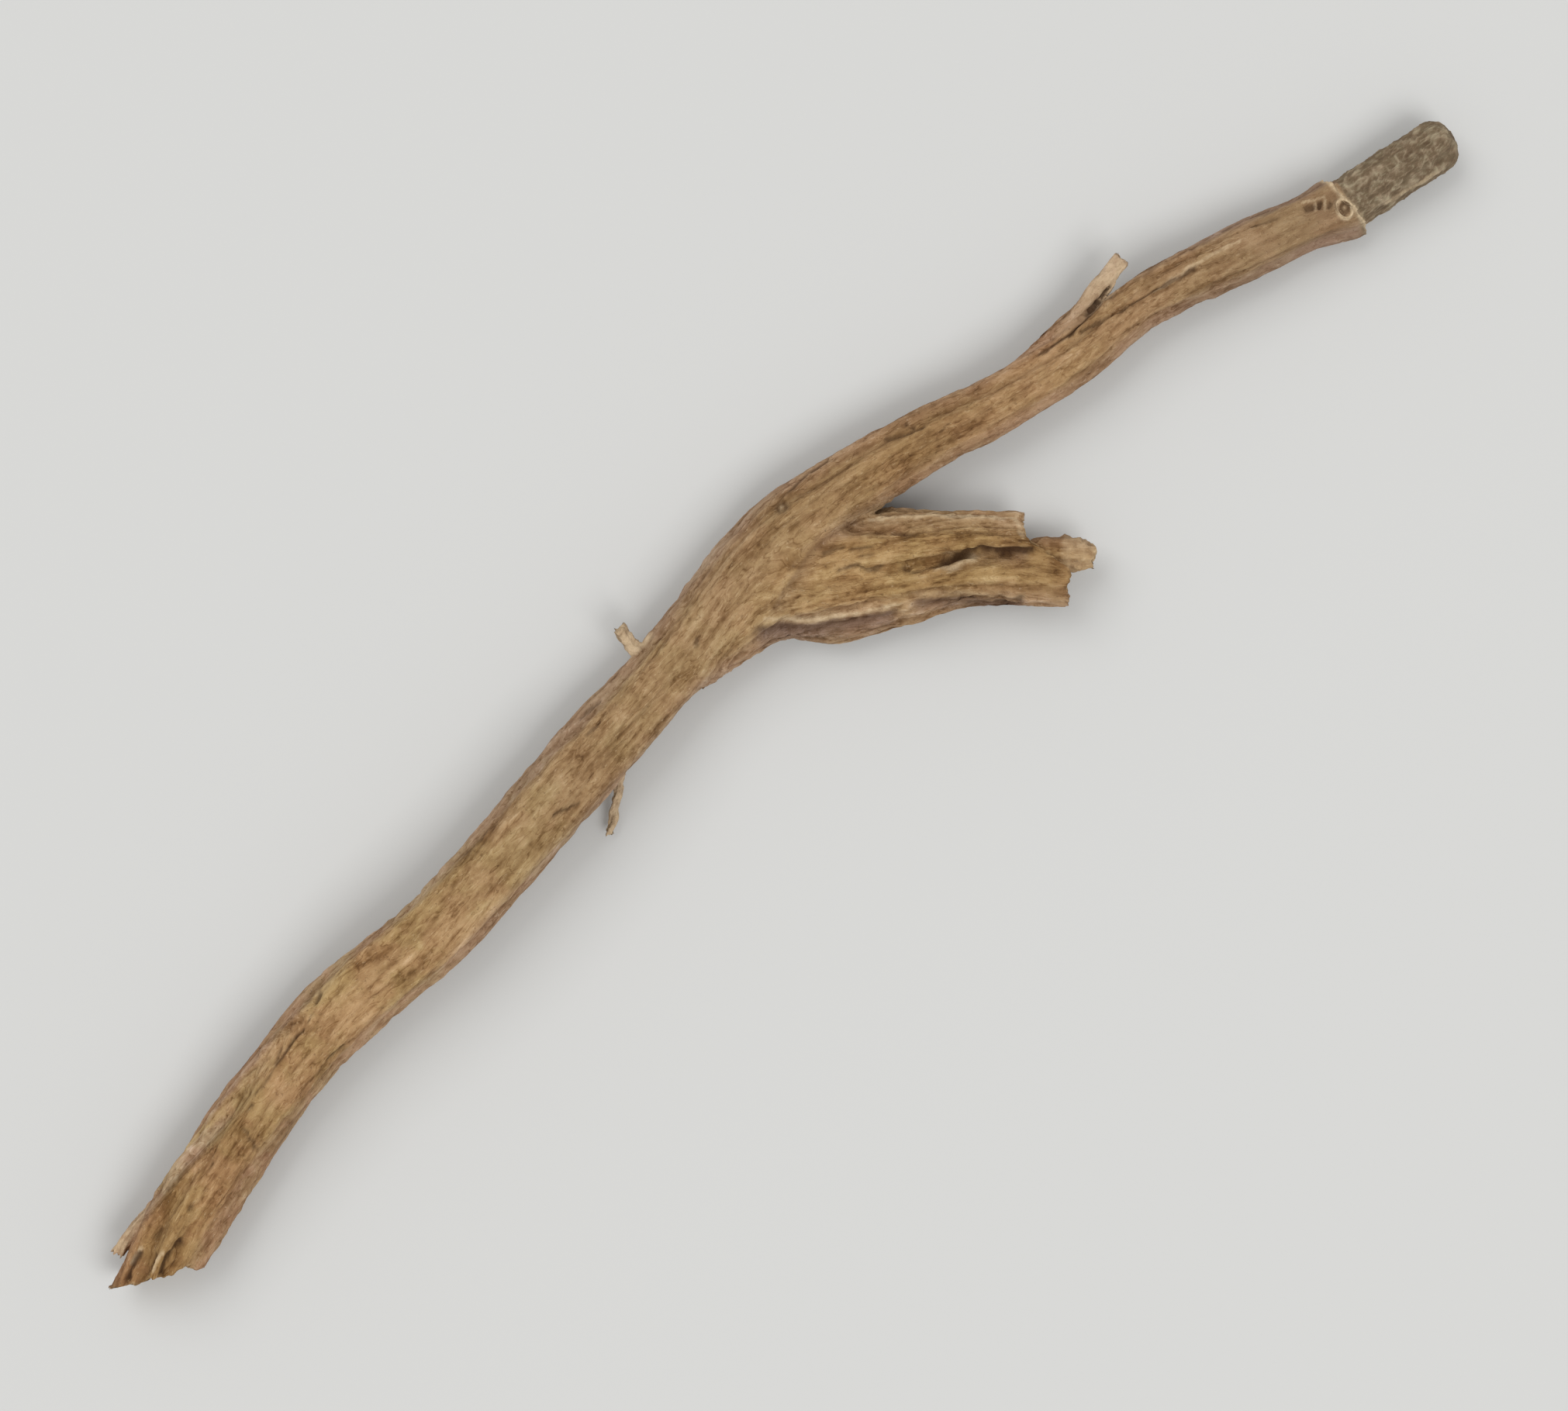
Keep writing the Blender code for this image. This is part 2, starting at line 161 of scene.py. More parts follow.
# Lengthwise ridges and furrows, as parts of the local half width.
BROAD_RIDGES = 5
BROAD_HEIGHT = 0.065
BROAD_WANDER = 2.4
NARROW_RIDGES = 8
NARROW_HEIGHT = 0.04
NARROW_WANDER = 3.1
WANDER_PER_MM = 0.11
LUMP_HEIGHT = 0.07
LUMPS_PER_MM = 0.3
LUMPS_ACROSS = 1.2
THIN_ROUGHNESS = 0.12
THIN_TEAR = 0.3
THIN_TEAR_REACH = 0.5
THIN_TEAR_FINENESS = 2.2
TWIST_PER_MM = 0.018
UNDERSIDE_CALM = 0.75
# Furrows: where they start and end along the limb, where round it in degrees, and their depth.
STEM_FURROWS = (
    (-2.0, 9.0, 118.0, 0.15),
    (-2.0, 5.0, 68.0, 0.13),
    (6.0, 22.0, 84.0, 0.09),
    (17.0, 33.0, 122.0, 0.1),
    (28.0, 38.0, 60.0, 0.1),
    (40.0, 61.0, 128.0, 0.08),
    (44.0, 58.0, 74.0, 0.08),
    (59.0, 67.0, 96.0, 0.06),
    (10.0, 40.0, 260.0, 0.14),
    (42.0, 64.0, 236.0, 0.14),
)
ARM_FURROWS = (
    (6.5, 19.0, 88.0, 0.3),
    (4.5, 13.5, 46.0, 0.17),
    (10.0, 19.0, 128.0, 0.12),
    (6.0, 18.0, 268.0, 0.2),
)
FURROW_WIDTH = 0.23
FURROW_SWAY = 0.12
FURROW_SWAY_PER_MM = 0.5

# The fillet in the fork, which is wider on the fork's body than in its crotch.
FILLET_REACH = 0.3
FILLET_WIDER = 1.1
FILLET_BODY_ENDS = 8.6
FILLET_BODY_FADE = 3.0
FILLET_SMOOTHED_FROM = 0.45
FILLET_SMOOTHINGS = 14

# The skin's relief in millimetres.
DASH_HEIGHT = 0.08
KNOB_HEIGHT = 0.05
BUMP_HEIGHT = 0.04
FOLD_DEPTH = 0.065
LINE_DEPTH = 0.045
CROSS_LINE_DEPTH = 0.02
WRINKLE_HEIGHT = 0.05
FINE_WRINKLE_HEIGHT = 0.025
TIP_SWELL_HEIGHT = 0.035
TIP_RING_HEIGHT = 0.02
TIP_RING_PACE = 5.5
TIP_END_REACH = 1.2
TIP_SUNK = 0.035
TEAR_HEIGHT = 0.18
FINE_TEAR_HEIGHT = 0.12
# How far the whole skin lies inside its stations, so that the relief doesn't swell the limbs.
SKIN_SUNK = 0.03
# How much rougher the side arm's bark is than the stem's.
ARM_ROUGHER = 0.35
# How much calmer the bark is just behind the collar.
NECK_CALM = 0.5
NECK_BACK = 2.2
NECK_REACH = 2.8

# How finely each limb is made.
STEM_SIDES = 136
ARM_SIDES = 150
THIN_SIDES = 36
STEM_STEP = 0.17
COLLAR_STEP = 0.08
TIP_STEP = 0.075
ARM_STEP = 0.16
THIN_STEP = 0.1
FINE_BEFORE_RIM = 1.9
SCAR_SEGMENTS = 48
SCAR_WIRE_SEGMENTS = 16
SEAM_MERGE = 0.0002
SLIVER_MERGE = 0.002
CURVE_PARTS = 24
CURVE_REACH = 0.25
MARKS_PER_MM = 12
FEWEST_MARKS = 60
PLACES_AT_ONCE = 4000
# How far out from the middle the rings of a broken end lie.
END_SHARES = (0.04, 0.1, 0.18, 0.26, 0.34, 0.42, 0.5, 0.58, 0.66, 0.73, 0.78, 0.82, 0.85, 0.9, 0.96)
DOME_STEPS = (0.15, 0.3, 0.44, 0.56, 0.67, 0.76, 0.84, 0.9, 0.95, 0.98)

# Marks in the upper side, each a line of points.
# Slits: half width, depth.
SLITS = (
    (((-21.1, -15.1), (-20.7, -14.5), (-20.5, -14.0), (-20.1, -13.6)), 0.08, 0.17),
    (((-21.9, -16.3), (-21.5, -15.9), (-20.9, -14.4)), 0.06, 0.11),
    (((-19.5, -12.4), (-19.4, -12.1)), 0.12, 0.16),
    (((-19.8, -13.2), (-19.6, -12.8)), 0.08, 0.13),
    (((-18.9, -14.8), (-18.3, -14.4)), 0.08, 0.16),
    (((-22.5, -17.7), (-22.3, -18.1), (-21.9, -18.6)), 0.1, 0.14),
    (((-22.3, -17.0), (-22.1, -16.8)), 0.1, 0.14),
    (((-24.7, -21.1), (-24.6, -20.9)), 0.1, 0.14),
    (((-23.9, -19.3), (-23.8, -19.1)), 0.09, 0.12),
    (((-27.4, -24.1), (-27.2, -23.6), (-26.9, -23.0)), 0.12, 0.3),
    (((-26.6, -23.9), (-26.4, -23.5), (-26.2, -23.0)), 0.11, 0.26),
    (((-25.9, -23.8), (-25.6, -23.1), (-25.1, -22.5)), 0.12, 0.28),
    (((-26.3, -22.4), (-26.0, -21.9)), 0.08, 0.14),
    (((-9.6, -4.7), (-8.6, -4.2)), 0.08, 0.16),
    (((-8.6, -0.7), (-8.1, -0.2), (-7.7, 0.1)), 0.06, 0.13),
    (((-8.2, -1.3), (-7.7, -0.8)), 0.07, 0.12),
    (((-3.7, 2.4), (-3.6, 2.7)), 0.11, 0.15),
    (((0.2, 8.9), (0.9, 9.6), (1.7, 10.1)), 0.07, 0.15),
    (((1.6, 6.2), (2.3, 6.5), (2.8, 6.35), (3.6, 6.5)), 0.09, 0.15),
    (((2.3, 5.5), (3.0, 5.65), (3.4, 5.5), (4.1, 5.65)), 0.1, 0.17),
    (((4.9, 5.7), (5.5, 5.5), (6.2, 5.75), (6.8, 5.95)), 0.09, 0.17),
    (((3.2, 6.0), (3.7, 6.1)), 0.07, 0.1),
    (((6.8, 5.95), (7.9, 6.3), (8.9, 6.25), (10.4, 6.3)), 0.1, 0.24),
    (((4.6, 7.1), (5.4, 7.1)), 0.07, 0.12),
    (((8.9, 4.3), (9.4, 4.2), (9.9, 4.3)), 0.12, 0.16),
    (((5.0, 11.7), (5.4, 11.4)), 0.08, 0.15),
    (((4.2, 11.0), (4.9, 11.2), (5.8, 11.5)), 0.08, 0.15),
    (((6.6, 11.3), (6.9, 11.6)), 0.07, 0.12),
    (((11.9, 15.4), (12.8, 16.4), (13.7, 17.3)), 0.12, 0.26),
    (((10.6, 14.5), (11.9, 15.4)), 0.08, 0.16),
    (((12.4, 15.5), (14.8, 16.9), (17.1, 18.1)), 0.08, 0.15),
    (((17.0, 19.1), (18.0, 19.8)), 0.08, 0.15),
    (((18.4, 19.9), (19.3, 20.4), (20.3, 20.7)), 0.07, 0.14),
    (((19.6, 19.9), (20.6, 20.3)), 0.06, 0.1),
    (((21.85, 20.62), (22.1, 20.72)), 0.09, 0.14),
    (((22.36, 20.7), (22.44, 20.9)), 0.09, 0.16),
    (((22.7, 20.7), (22.76, 20.9)), 0.07, 0.12),
    (((25.8, 22.7), (26.4, 23.1), (26.9, 23.45)), 0.06, 0.07),
)
# Raised rims: half width, height.
RIMS = (
    (((-0.8, 3.45), (1.5, 3.5), (3.3, 3.8), (4.8, 4.15)), 0.1, 0.05),
    (((3.6, 7.75), (6.4, 7.85), (9.6, 7.7)), 0.1, 0.06),
    (((0.0, 9.2), (0.8, 9.9), (1.6, 10.4)), 0.1, 0.06),
    (((16.6, 19.2), (17.8, 20.0)), 0.09, 0.06),
    (((18.1, 20.1), (19.2, 20.7), (20.4, 21.1)), 0.09, 0.06),
    (((15.5, 17.2), (17.4, 18.5), (19.0, 19.3)), 0.09, 0.04),
    (((21.7, 20.95), (22.2, 21.05), (22.6, 21.15)), 0.07, 0.05),
    (((22.18, 20.6), (22.24, 20.9)), 0.06, 0.04),
    (((22.58, 20.6), (22.64, 21.0)), 0.06, 0.04),
    (((25.2, 20.9), (26.4, 21.6), (27.4, 22.2)), 0.1, 0.04),
    (((-27.2, -23.4), (-26.8, -22.7)), 0.1, 0.07),
    (((-26.3, -23.6), (-25.9, -22.9)), 0.1, 0.07),
    (((6.2, 5.6), (7.2, 5.8), (8.0, 6.0)), 0.14, 0.05),
    (((9.7, 7.8), (9.8, 7.4), (9.95, 6.95)), 0.1, 0.05),
)
# Ledges: past the right side of the line the skin drops by a depth, and rises again over a reach.
LEDGES = (
    (((-1.5, 3.1), (-0.2, 3.35), (1.2, 3.4), (3.3, 3.7), (4.9, 4.05)), 0.3, 1.8),
    (((-0.9, 3.6), (0.1, 5.0), (0.9, 6.4), (2.2, 7.4), (3.3, 7.9)), 0.1, 1.2),
    (((6.4, 6.0), (8.5, 6.35), (10.4, 6.35)), 0.14, 1.0),
    (((5.1, 4.4), (6.3, 4.4), (7.6, 4.5), (8.9, 4.3), (10.3, 4.3)), 0.2, 0.9),
)
LEDGE_EDGE = 0.14
LEDGE_FULL_DEPTH = 0.24
LEDGE_FADE = 0.1
MARK_WANDER = 0.08
SLIT_FULL_DEPTH = 0.22
RIM_FULL_HEIGHT = 0.06
# The pit that a rootlet left on the fork.
PIT = (-0.15, 8.15)
PIT_RADIUS = 0.26
PIT_DEPTH = 0.07
# A place on the fork where the fibres of stem and side arm meet.
FORK = (-1.0, 4.5, 1.6)

# The studio, in metres and watts.
KEY_LIGHT = ((0.45, -0.48, 1.0), 0.66, 6.2)
FILL_LIGHT = ((-0.7, 0.6, 1.15), 1.0, 8.0)
SKY_STRENGTH = 0.62
FLOOR_SIZE = 1.5
CAMERA_HEIGHT = 0.157
CAMERA_LENS = 85.0
CAMERA_CLIP = 0.01


class Axis:
    """A smooth curve through stations, read by the distance along it."""

    def __init__(self, stations):
        rows = np.array(stations, dtype=float)
        rows = np.vstack([2 * rows[:1] - rows[1:2], rows, 2 * rows[-1:] - rows[-2:-1]])
        parts = np.linspace(0.0, 1.0, CURVE_PARTS, endpoint=False)[:, None]
        spans = [self.span(rows[first : first + 4], parts) for first in range(len(rows) - 3)]
        self.rows = np.vstack([*spans, rows[-2:-1]])
        lengths = np.linalg.norm(np.diff(self.rows[:, :2], axis=0), axis=1)
        self.run = np.concatenate([[0.0], np.cumsum(lengths)])
        self.length = float(self.run[-1])

    @staticmethod
    def span(four, parts):
        """Points from the second row to the third, on a curve through every row."""
        first, second, third, fourth = four
        slope = (third - first) * parts
        bend = (2 * first - 5 * second + 4 * third - fourth) * parts**2
        swing = (3 * second - first - 3 * third + fourth) * parts**3
        return 0.5 * (2 * second + slope + bend + swing)

    def at(self, distance):
        """Centres, half widths and half heights at these distances."""
        x, y, gap, width, height = (np.interp(distance, self.run, column) for column in self.rows.T)
        return np.stack([x, y, gap + height / 2], axis=-1), width / 2, height / 2

    def frame(self, distance):
        """The way along the axis, the way across it to the right, and the way up."""
        low = np.maximum(0.0, distance - CURVE_REACH)
        high = np.minimum(self.length, distance + CURVE_REACH)
        along = unit(self.at(high)[0] - self.at(low)[0])
        across = unit(np.cross(along, (0.0, 0.0, 1.0)))
        return along, across, np.cross(across, along)

    def measure(self, places):
        """Places in the limb's own measures: along, across, over, and as a part of its half width."""
        marks = np.linspace(0.0, self.length, max(FEWEST_MARKS, round(MARKS_PER_MM * self.length)))
        centres, half_width, half_height = self.at(marks)
        along, across, over = self.frame(marks)
        nearest = np.concatenate([
            np.argmin(((some[:, None, :2] - centres[None, :, :2]) ** 2).sum(axis=2), axis=1)
            for some in np.array_split(places, max(1, len(places) // PLACES_AT_ONCE))
        ])
        offset = places - centres[nearest]
        run = marks[nearest] + (offset * along[nearest]).sum(axis=1)
        side = (offset * across[nearest]).sum(axis=1)
        rise = (offset * over[nearest]).sum(axis=1)
        part = np.hypot(side / half_width[nearest], rise / half_height[nearest])
        return np.stack([run, side, rise], axis=1), part


def unit(vectors):
    return vectors / np.linalg.norm(vectors, axis=-1, keepdims=True)


def ease(values):
    """0 below 0, 1 above 1, and a smooth step between."""
    values = np.clip(values, 0.0, 1.0)
    return values * values * (3 - 2 * values)


def crest(values, width):
    """1 where the values cross zero, falling off on both sides."""
    return np.exp(-((values / width) ** 2))


def noise_at(x, y, z):
    """Smooth noise from -1 to 1 at each place."""
    places = np.stack(np.broadcast_arrays(x, y, z), axis=-1).tolist()
    return np.array([noise.noise(place) for place in places])


def ridges(distance, angle, seed):
    """The bark's lengthwise ridges and lumps, as a factor on the half width."""
    drift = noise_at(distance * WANDER_PER_MM, seed, 0.5)
    turned = angle + TWIST_PER_MM * distance
    broad = BROAD_HEIGHT * np.cos(BROAD_RIDGES * turned + BROAD_WANDER * drift)
    narrow = NARROW_HEIGHT * np.cos(NARROW_RIDGES * turned - NARROW_WANDER * drift + seed)
    lump = LUMP_HEIGHT * noise_at(
        distance * LUMPS_PER_MM, LUMPS_ACROSS * np.cos(angle), LUMPS_ACROSS * np.sin(angle) + seed
    )
    return 1.0 + broad + narrow + lump


def furrows(distance, angle, listed):
    """How deep the listed furrows cut, as a part of the half width."""
    depth = np.zeros_like(distance)
    for start, end, degrees, deepest in listed:
        sway = FURROW_SWAY * np.sin(FURROW_SWAY_PER_MM * distance + degrees)
        away = (angle - math.radians(degrees) - sway + math.pi) % math.tau - math.pi
        share = np.clip((distance - start) / (end - start), 0.0, 1.0)
        fade = np.sqrt(np.sin(math.pi * share).clip(0.0))
        depth += deepest * fade * crest(away, FURROW_WIDTH)
    return depth


def underside(angle):
    """1 at the very bottom of a limb, 0 on its upper half."""
    return ease(-np.sin(angle))


def collar(distance, angle):
    """How far the collar stands out, in millimetres."""
    swell = ease((distance - RIM + RIM_RISE) / RIM_RISE) ** RIM_SWELL_POWER
    skew = (1.0 + RIM_SKEW * np.cos(angle)) * (1.0 - RIM_LOWER * underside(angle))
    height = swell * (RIM_HEIGHT * skew + RIM_WAVE * np.sin(RIM_WAVES * angle + 1.0))
    return np.where(distance > RIM, 0.0, height)


def jag(angle, seed):
    """The ragged line of a break."""
    broad = noise_at(JAG_FINENESS * np.cos(angle), JAG_FINENESS * np.sin(angle), seed)
    fine = noise_at(FINE_JAG_FINENESS * np.cos(angle), FINE_JAG_FINENESS * np.sin(angle), seed)
    return BREAK_JAG * (broad + FINE_JAG * fine)


def broken_wood(share, angle, seed):
    """How far the wood of a break lies behind the bark's rim, with its fibres' ends."""
    sunk = WOOD_SUNK * ease((WOOD_EDGE - share) / WOOD_STEP)
    side = share * np.cos(angle)
    rise = share * np.sin(angle)
    fibres = FIBRE_HEIGHT * noise_at(FIBRE_FINENESS * side, FIBRE_FINENESS * rise, seed)
    fibres += SPLIT_HEIGHT * noise_at(SPLIT_FINENESS * side, SPLIT_FINENESS * rise, seed)
    return sunk + fibres * ease((1.0 - share) / FIBRE_FADE)


def stem_surface(distance, share, angle):
    """Places on the stem. A share below 1 lies on an end, that part of the way out from its middle."""
    centre, half_width, half_height = STEM_AXIS.at(distance)
    along, across, over = STEM_AXIS.frame(distance)
    calm = 1.0 - UNDERSIDE_CALM * underside(angle)
    shape = 1.0 + calm * (ridges(distance, angle, 3.7) - 1.0)
    shape -= furrows(distance, angle, STEM_FURROWS)
    swell = collar(distance, angle)
    dome = np.clip(1.0 - (STEM_AXIS.length - distance) / TIP_DOME, 0.0, None)
    rounding = share * np.sqrt(np.maximum(SMALLEST_ROUNDING, 1.0 - dome**DOME_POWER))
    wide = (half_width * shape + swell) * rounding
    high = (half_height * shape + swell) * rounding

    back = 1.0 - np.minimum(1.0, distance / SLANT_REACH)
    shift = (0.5 * STEM_SLANT * share * np.cos(angle) + share * jag(angle, 1.0)) * back
    shift += np.where(distance <= 0.0, broken_wood(share, angle, 2.0), 0.0)
    torn = noise_at(RIM_JAG_FINENESS * np.cos(angle), RIM_JAG_FINENESS * np.sin(angle), 6.0)
    shift += RIM_JAG * torn * crest(distance - RIM, RIM_JAG_REACH)
    shift += RIM_SLANT * np.cos(angle) * crest(distance - RIM, RIM_SLANT_REACH)
    return placed(centre, wide, high, shift, along, across, over, angle)


def arm_surface(distance, share, angle):
    """Places on the side arm, which is broken off in two steps."""
    centre, half_width, half_height = ARM_AXIS.at(distance)
    along, across, over = ARM_AXIS.frame(distance)
    shape = (ridges(distance, angle, 8.2) - furrows(distance, angle, ARM_FURROWS)) * share
    back = 1.0 - np.minimum(1.0, (ARM_AXIS.length - distance) / SLANT_REACH)
    step = np.tanh(ARM_STEP_SHARPNESS * (share * np.cos(angle) + ARM_STEP_SIDE))
    shift = (0.5 * ARM_SLANT * step + share * jag(angle, 5.0)) * back
    shift -= np.where(distance >= ARM_AXIS.length, broken_wood(share, angle, 7.0), 0.0)
    return placed(centre, half_width * shape, half_height * shape, shift, along, across, over, angle)


def thin_surface(axis):
    """The rule for places on a rootlet, splinter or bark strip."""

    def surface(distance, share, angle):
        centre, half_width, half_height = axis.at(distance)
        along, across, over = axis.frame(distance)
        rough = noise_at(distance, 2.0 * np.cos(angle), 2.0 * np.sin(angle))
        fine = noise_at(2.0 * distance, 3.0 * np.cos(angle), 3.0 * np.sin(angle) + 4.0)
        shape = share * (1.0 + THIN_ROUGHNESS * rough + 0.5 * THIN_ROUGHNESS * fine)
        near_end = np.exp(-((axis.length - distance) / THIN_TEAR_REACH))
        ragged = THIN_TEAR_FINENESS * np.array([np.cos(angle), np.sin(angle)])
        torn = noise_at(*ragged, axis.length)
        shift = THIN_TEAR * torn * near_end * share
        return placed(centre, half_width * shape, half_height * shape, shift, along, across, over, angle)

    return surface


def placed(centre, wide, high, shift, along, across, over, angle):
    """Places round a centre, this wide and high, and shifted along the axis."""
    side = (wide * np.cos(angle))[:, None] * across
    rise = (high * np.sin(angle))[:, None] * over
    return centre + side + rise + shift[:, None] * along


def even_stops(start, end, step):
    """Distances from start to end, about a step apart."""
    return np.linspace(start, end, max(1, round((end - start) / step)) + 1).tolist()


def roll_limb(name, rows, sides, surface):
    """One closed limb: a flat grid rolled into a tube, with its corners placed by the rule surface."""
    mesh = bmesh.new()
    bmesh.ops.create_grid(mesh, x_segments=len(rows) - 1, y_segments=sides, size=0.5)
    flat = np.array([vertex.co for vertex in mesh.verts])
    number = np.rint((flat[:, 0] + 0.5) * (len(rows) - 1)).astype(int)
    distance, share = np.array(rows)[number].T
    angle = (flat[:, 1] + 0.5) * math.tau
    for vertex, place in zip(mesh.verts, surface(distance, share, angle)):
        vertex.co = place
    bmesh.ops.remove_doubles(mesh, verts=mesh.verts, dist=SEAM_MERGE)
    bmesh.ops.edgeloop_fill(mesh, edges=[edge for edge in mesh.edges if edge.is_boundary])
    bmesh.ops.recalc_face_normals(mesh, faces=mesh.faces)
    data = bpy.data.meshes.new(name)
    mesh.to_mesh(data)
    mesh.free()
    made = bpy.data.objects.new(name, data)
    bpy.context.scene.collection.objects.link(made)
    return made


def scar_ring():
    """The oval scar's rim, half sunk in the top of the collar and following its skin."""
    bpy.ops.mesh.primitive_torus_add(
        major_segments=SCAR_SEGMENTS,
        minor_segments=SCAR_WIRE_SEGMENTS,
        major_radius=SCAR_WIDTH / 2,
        minor_radius=SCAR_WIRE,
    )
    ring = bpy.context.object
    ring.name = "scar_rim"
    on_flat = points_of(ring.data)
    at = RIM - SCAR_BEFORE_RIM
    distance = at + on_flat[:, 0] * SCAR_LENGTH / SCAR_WIDTH
    collar_radius = STEM_AXIS.at(at)[1] + RIM_HEIGHT
    angle = math.radians(SCAR_ANGLE) + on_flat[:, 1] / collar_radius
    _, across, over = STEM_AXIS.frame(distance)
    outward = np.cos(angle)[:, None] * across + np.sin(angle)[:, None] * over
    skin = stem_surface(distance, np.ones(len(angle)), angle)
    move_to(ring.data, skin + outward * (on_flat[:, 2:] - SCAR_SUNK))
    return ring


def join_all(trunk, pieces):
    """One skin round the trunk and the pieces that are rooted in it."""
    rooted = bpy.data.collections.new("rooted")
    for piece in pieces:
        rooted.objects.link(piece)
    union = trunk.modifiers.new("union", "BOOLEAN")
    union.operation = "UNION"
    union.solver = "MANIFOLD"
    union.operand_type = "COLLECTION"
    union.collection = rooted
    finished = trunk.evaluated_get(bpy.context.evaluated_depsgraph_get())
    joined = bpy.data.meshes.new_from_object(finished)
    trunk.modifiers.remove(union)
    trunk.data = joined
    for piece in pieces:
        bpy.data.objects.remove(piece)
    bpy.data.collections.remove(rooted)

    work = bmesh.new()
    work.from_mesh(trunk.data)
    bmesh.ops.remove_doubles(work, verts=work.verts, dist=SLIVER_MERGE)
    work.to_mesh(trunk.data)
    work.free()


def points_of(mesh):
    places = np.empty(len(mesh.vertices) * 3, dtype=np.float32)
    mesh.vertices.foreach_get("co", places)
    return places.reshape(-1, 3).astype(float)


def normals_of(mesh):
    ways = np.empty(len(mesh.vertices) * 3, dtype=np.float32)
    mesh.vertices.foreach_get("normal", ways)
    return ways.reshape(-1, 3).astype(float)


def move_to(mesh, places):
    mesh.vertices.foreach_set("co", places.astype(np.float32).ravel())
    mesh.update()


def fork_fillet(places):
    """How far the crease between stem and side arm is filled, and the most that may be, in millimetres."""
    _, stem_part = STEM_AXIS.measure(places)
    arm, arm_part = ARM_AXIS.measure(places)
    to_stem = (stem_part - 1.0) * 1.5
    to_arm = (arm_part - 1.0) * np.hypot(arm[:, 1], arm[:, 2]) / arm_part
    apart = np.where(arm_part - stem_part < 0.0, to_stem, to_arm)
    reach = FILLET_REACH + FILLET_WIDER * ease((FILLET_BODY_ENDS - arm[:, 0]) / FILLET_BODY_FADE)
    fillet = reach / 4 * np.clip(1.0 - np.maximum(apart, 0.0) / reach, 0.0, 1.0) ** 2
    fillet *= ease((arm[:, 0] - 0.5) / 2.5) * ease((ARM_AXIS.length - arm[:, 0]) / 2.0)
    return fillet, reach / 4


def fill_fork(mesh):
    """Rounds the crease between stem and side arm, more on the fork's body than in its crotch."""
    places = points_of(mesh)
    fillet, most = fork_fillet(places)
    move_to(mesh, places + normals_of(mesh) * fillet[:, None])
    near = np.flatnonzero(fillet > FILLET_SMOOTHED_FROM * most)
    work = bmesh.new()
    work.from_mesh(mesh)
    work.verts.ensure_lookup_table()
    chosen = [work.verts[number] for number in near.tolist()]
    every_way = {"use_axis_x": True, "use_axis_y": True, "use_axis_z": True}
    for _ in range(FILLET_SMOOTHINGS):
        bmesh.ops.smooth_vert(work, verts=chosen, factor=0.5, **every_way)
    work.to_mesh(mesh)
    work.free()
    mesh.update()


def beside_line(flat, points):
    """Each place's share of the way along the line, how far it is from it, and how far to its right."""
    points = np.array(points)
    lengths = np.linalg.norm(np.diff(points, axis=0), axis=1)
    before = np.concatenate([[0.0], np.cumsum(lengths)])
    share, right = np.zeros(len(flat)), np.zeros(len(flat))
    away = np.full(len(flat), np.inf)
    for start, end, length, run in zip(points, points[1:], lengths, before):
        way = (end - start) / length
        part = np.clip((flat - start) @ way, 0.0, length)
        offset = flat - start - part[:, None] * way
        distance = np.linalg.norm(offset, axis=1)
        closer = distance < away
        away = np.where(closer, distance, away)
        share = np.where(closer, (run + part) / before[-1], share)
        right = np.where(closer, offset[:, 0] * way[1] - offset[:, 1] * way[0], right)
    return share, away, right


def line_marks(flat, upward, listed, ragged, full_size):
    """The listed lines as heights or depths in millimetres, uneven in width, and their cores from 0 to 1."""
    total, cores = np.zeros((2, len(flat)))
    for points, half_width, size in listed:
        _, away, _ = beside_line(flat, points)
        profile = crest(away, half_width * ragged)
        total = np.maximum(total, size * profile)
        cores = np.maximum(cores, min(1.0, size / full_size) * ease((profile - 0.3) / 0.45))
    return total * upward, cores * upward


def ledge_marks(flat, upward):
    """Past each ledge the skin's drop and its painted shade; at it, a painted shade line under it and a
    painted highlight on its edge.
    """
    drop, shade, shade_under_ledge, edge = np.zeros((4, len(flat)))
    for points, depth, reach in LEDGES:
        share, away, right = beside_line(flat, points)
        fade = ease(share / LEDGE_FADE) * ease((1.0 - share) / LEDGE_FADE)
        fade *= min(1.0, depth / LEDGE_FULL_DEPTH)
        past = ease(right / LEDGE_EDGE)
        drop = np.maximum(drop, depth * fade * past * (1.0 - ease((away - LEDGE_EDGE) / reach)))
        shade = np.maximum(shade, fade * past * (1.0 - ease((away - 0.25) / (0.6 * reach))))
        shade_under_ledge = np.maximum(shade_under_ledge, fade * crest(right - 0.17, 0.12) * (away < 0.6))
        edge = np.maximum(edge, fade * crest(right + 0.08, 0.09) * (away < 0.4))
    return drop * upward, shade, shade_under_ledge, edge * upward


def fibre_noise(fibre, along, across, start=(0.0, 0.0, 0.0)):
    """Noise that follows the fibre, this fine along it and across it."""
    return noise_at(*(fibre * (along, across, across) + start).T)


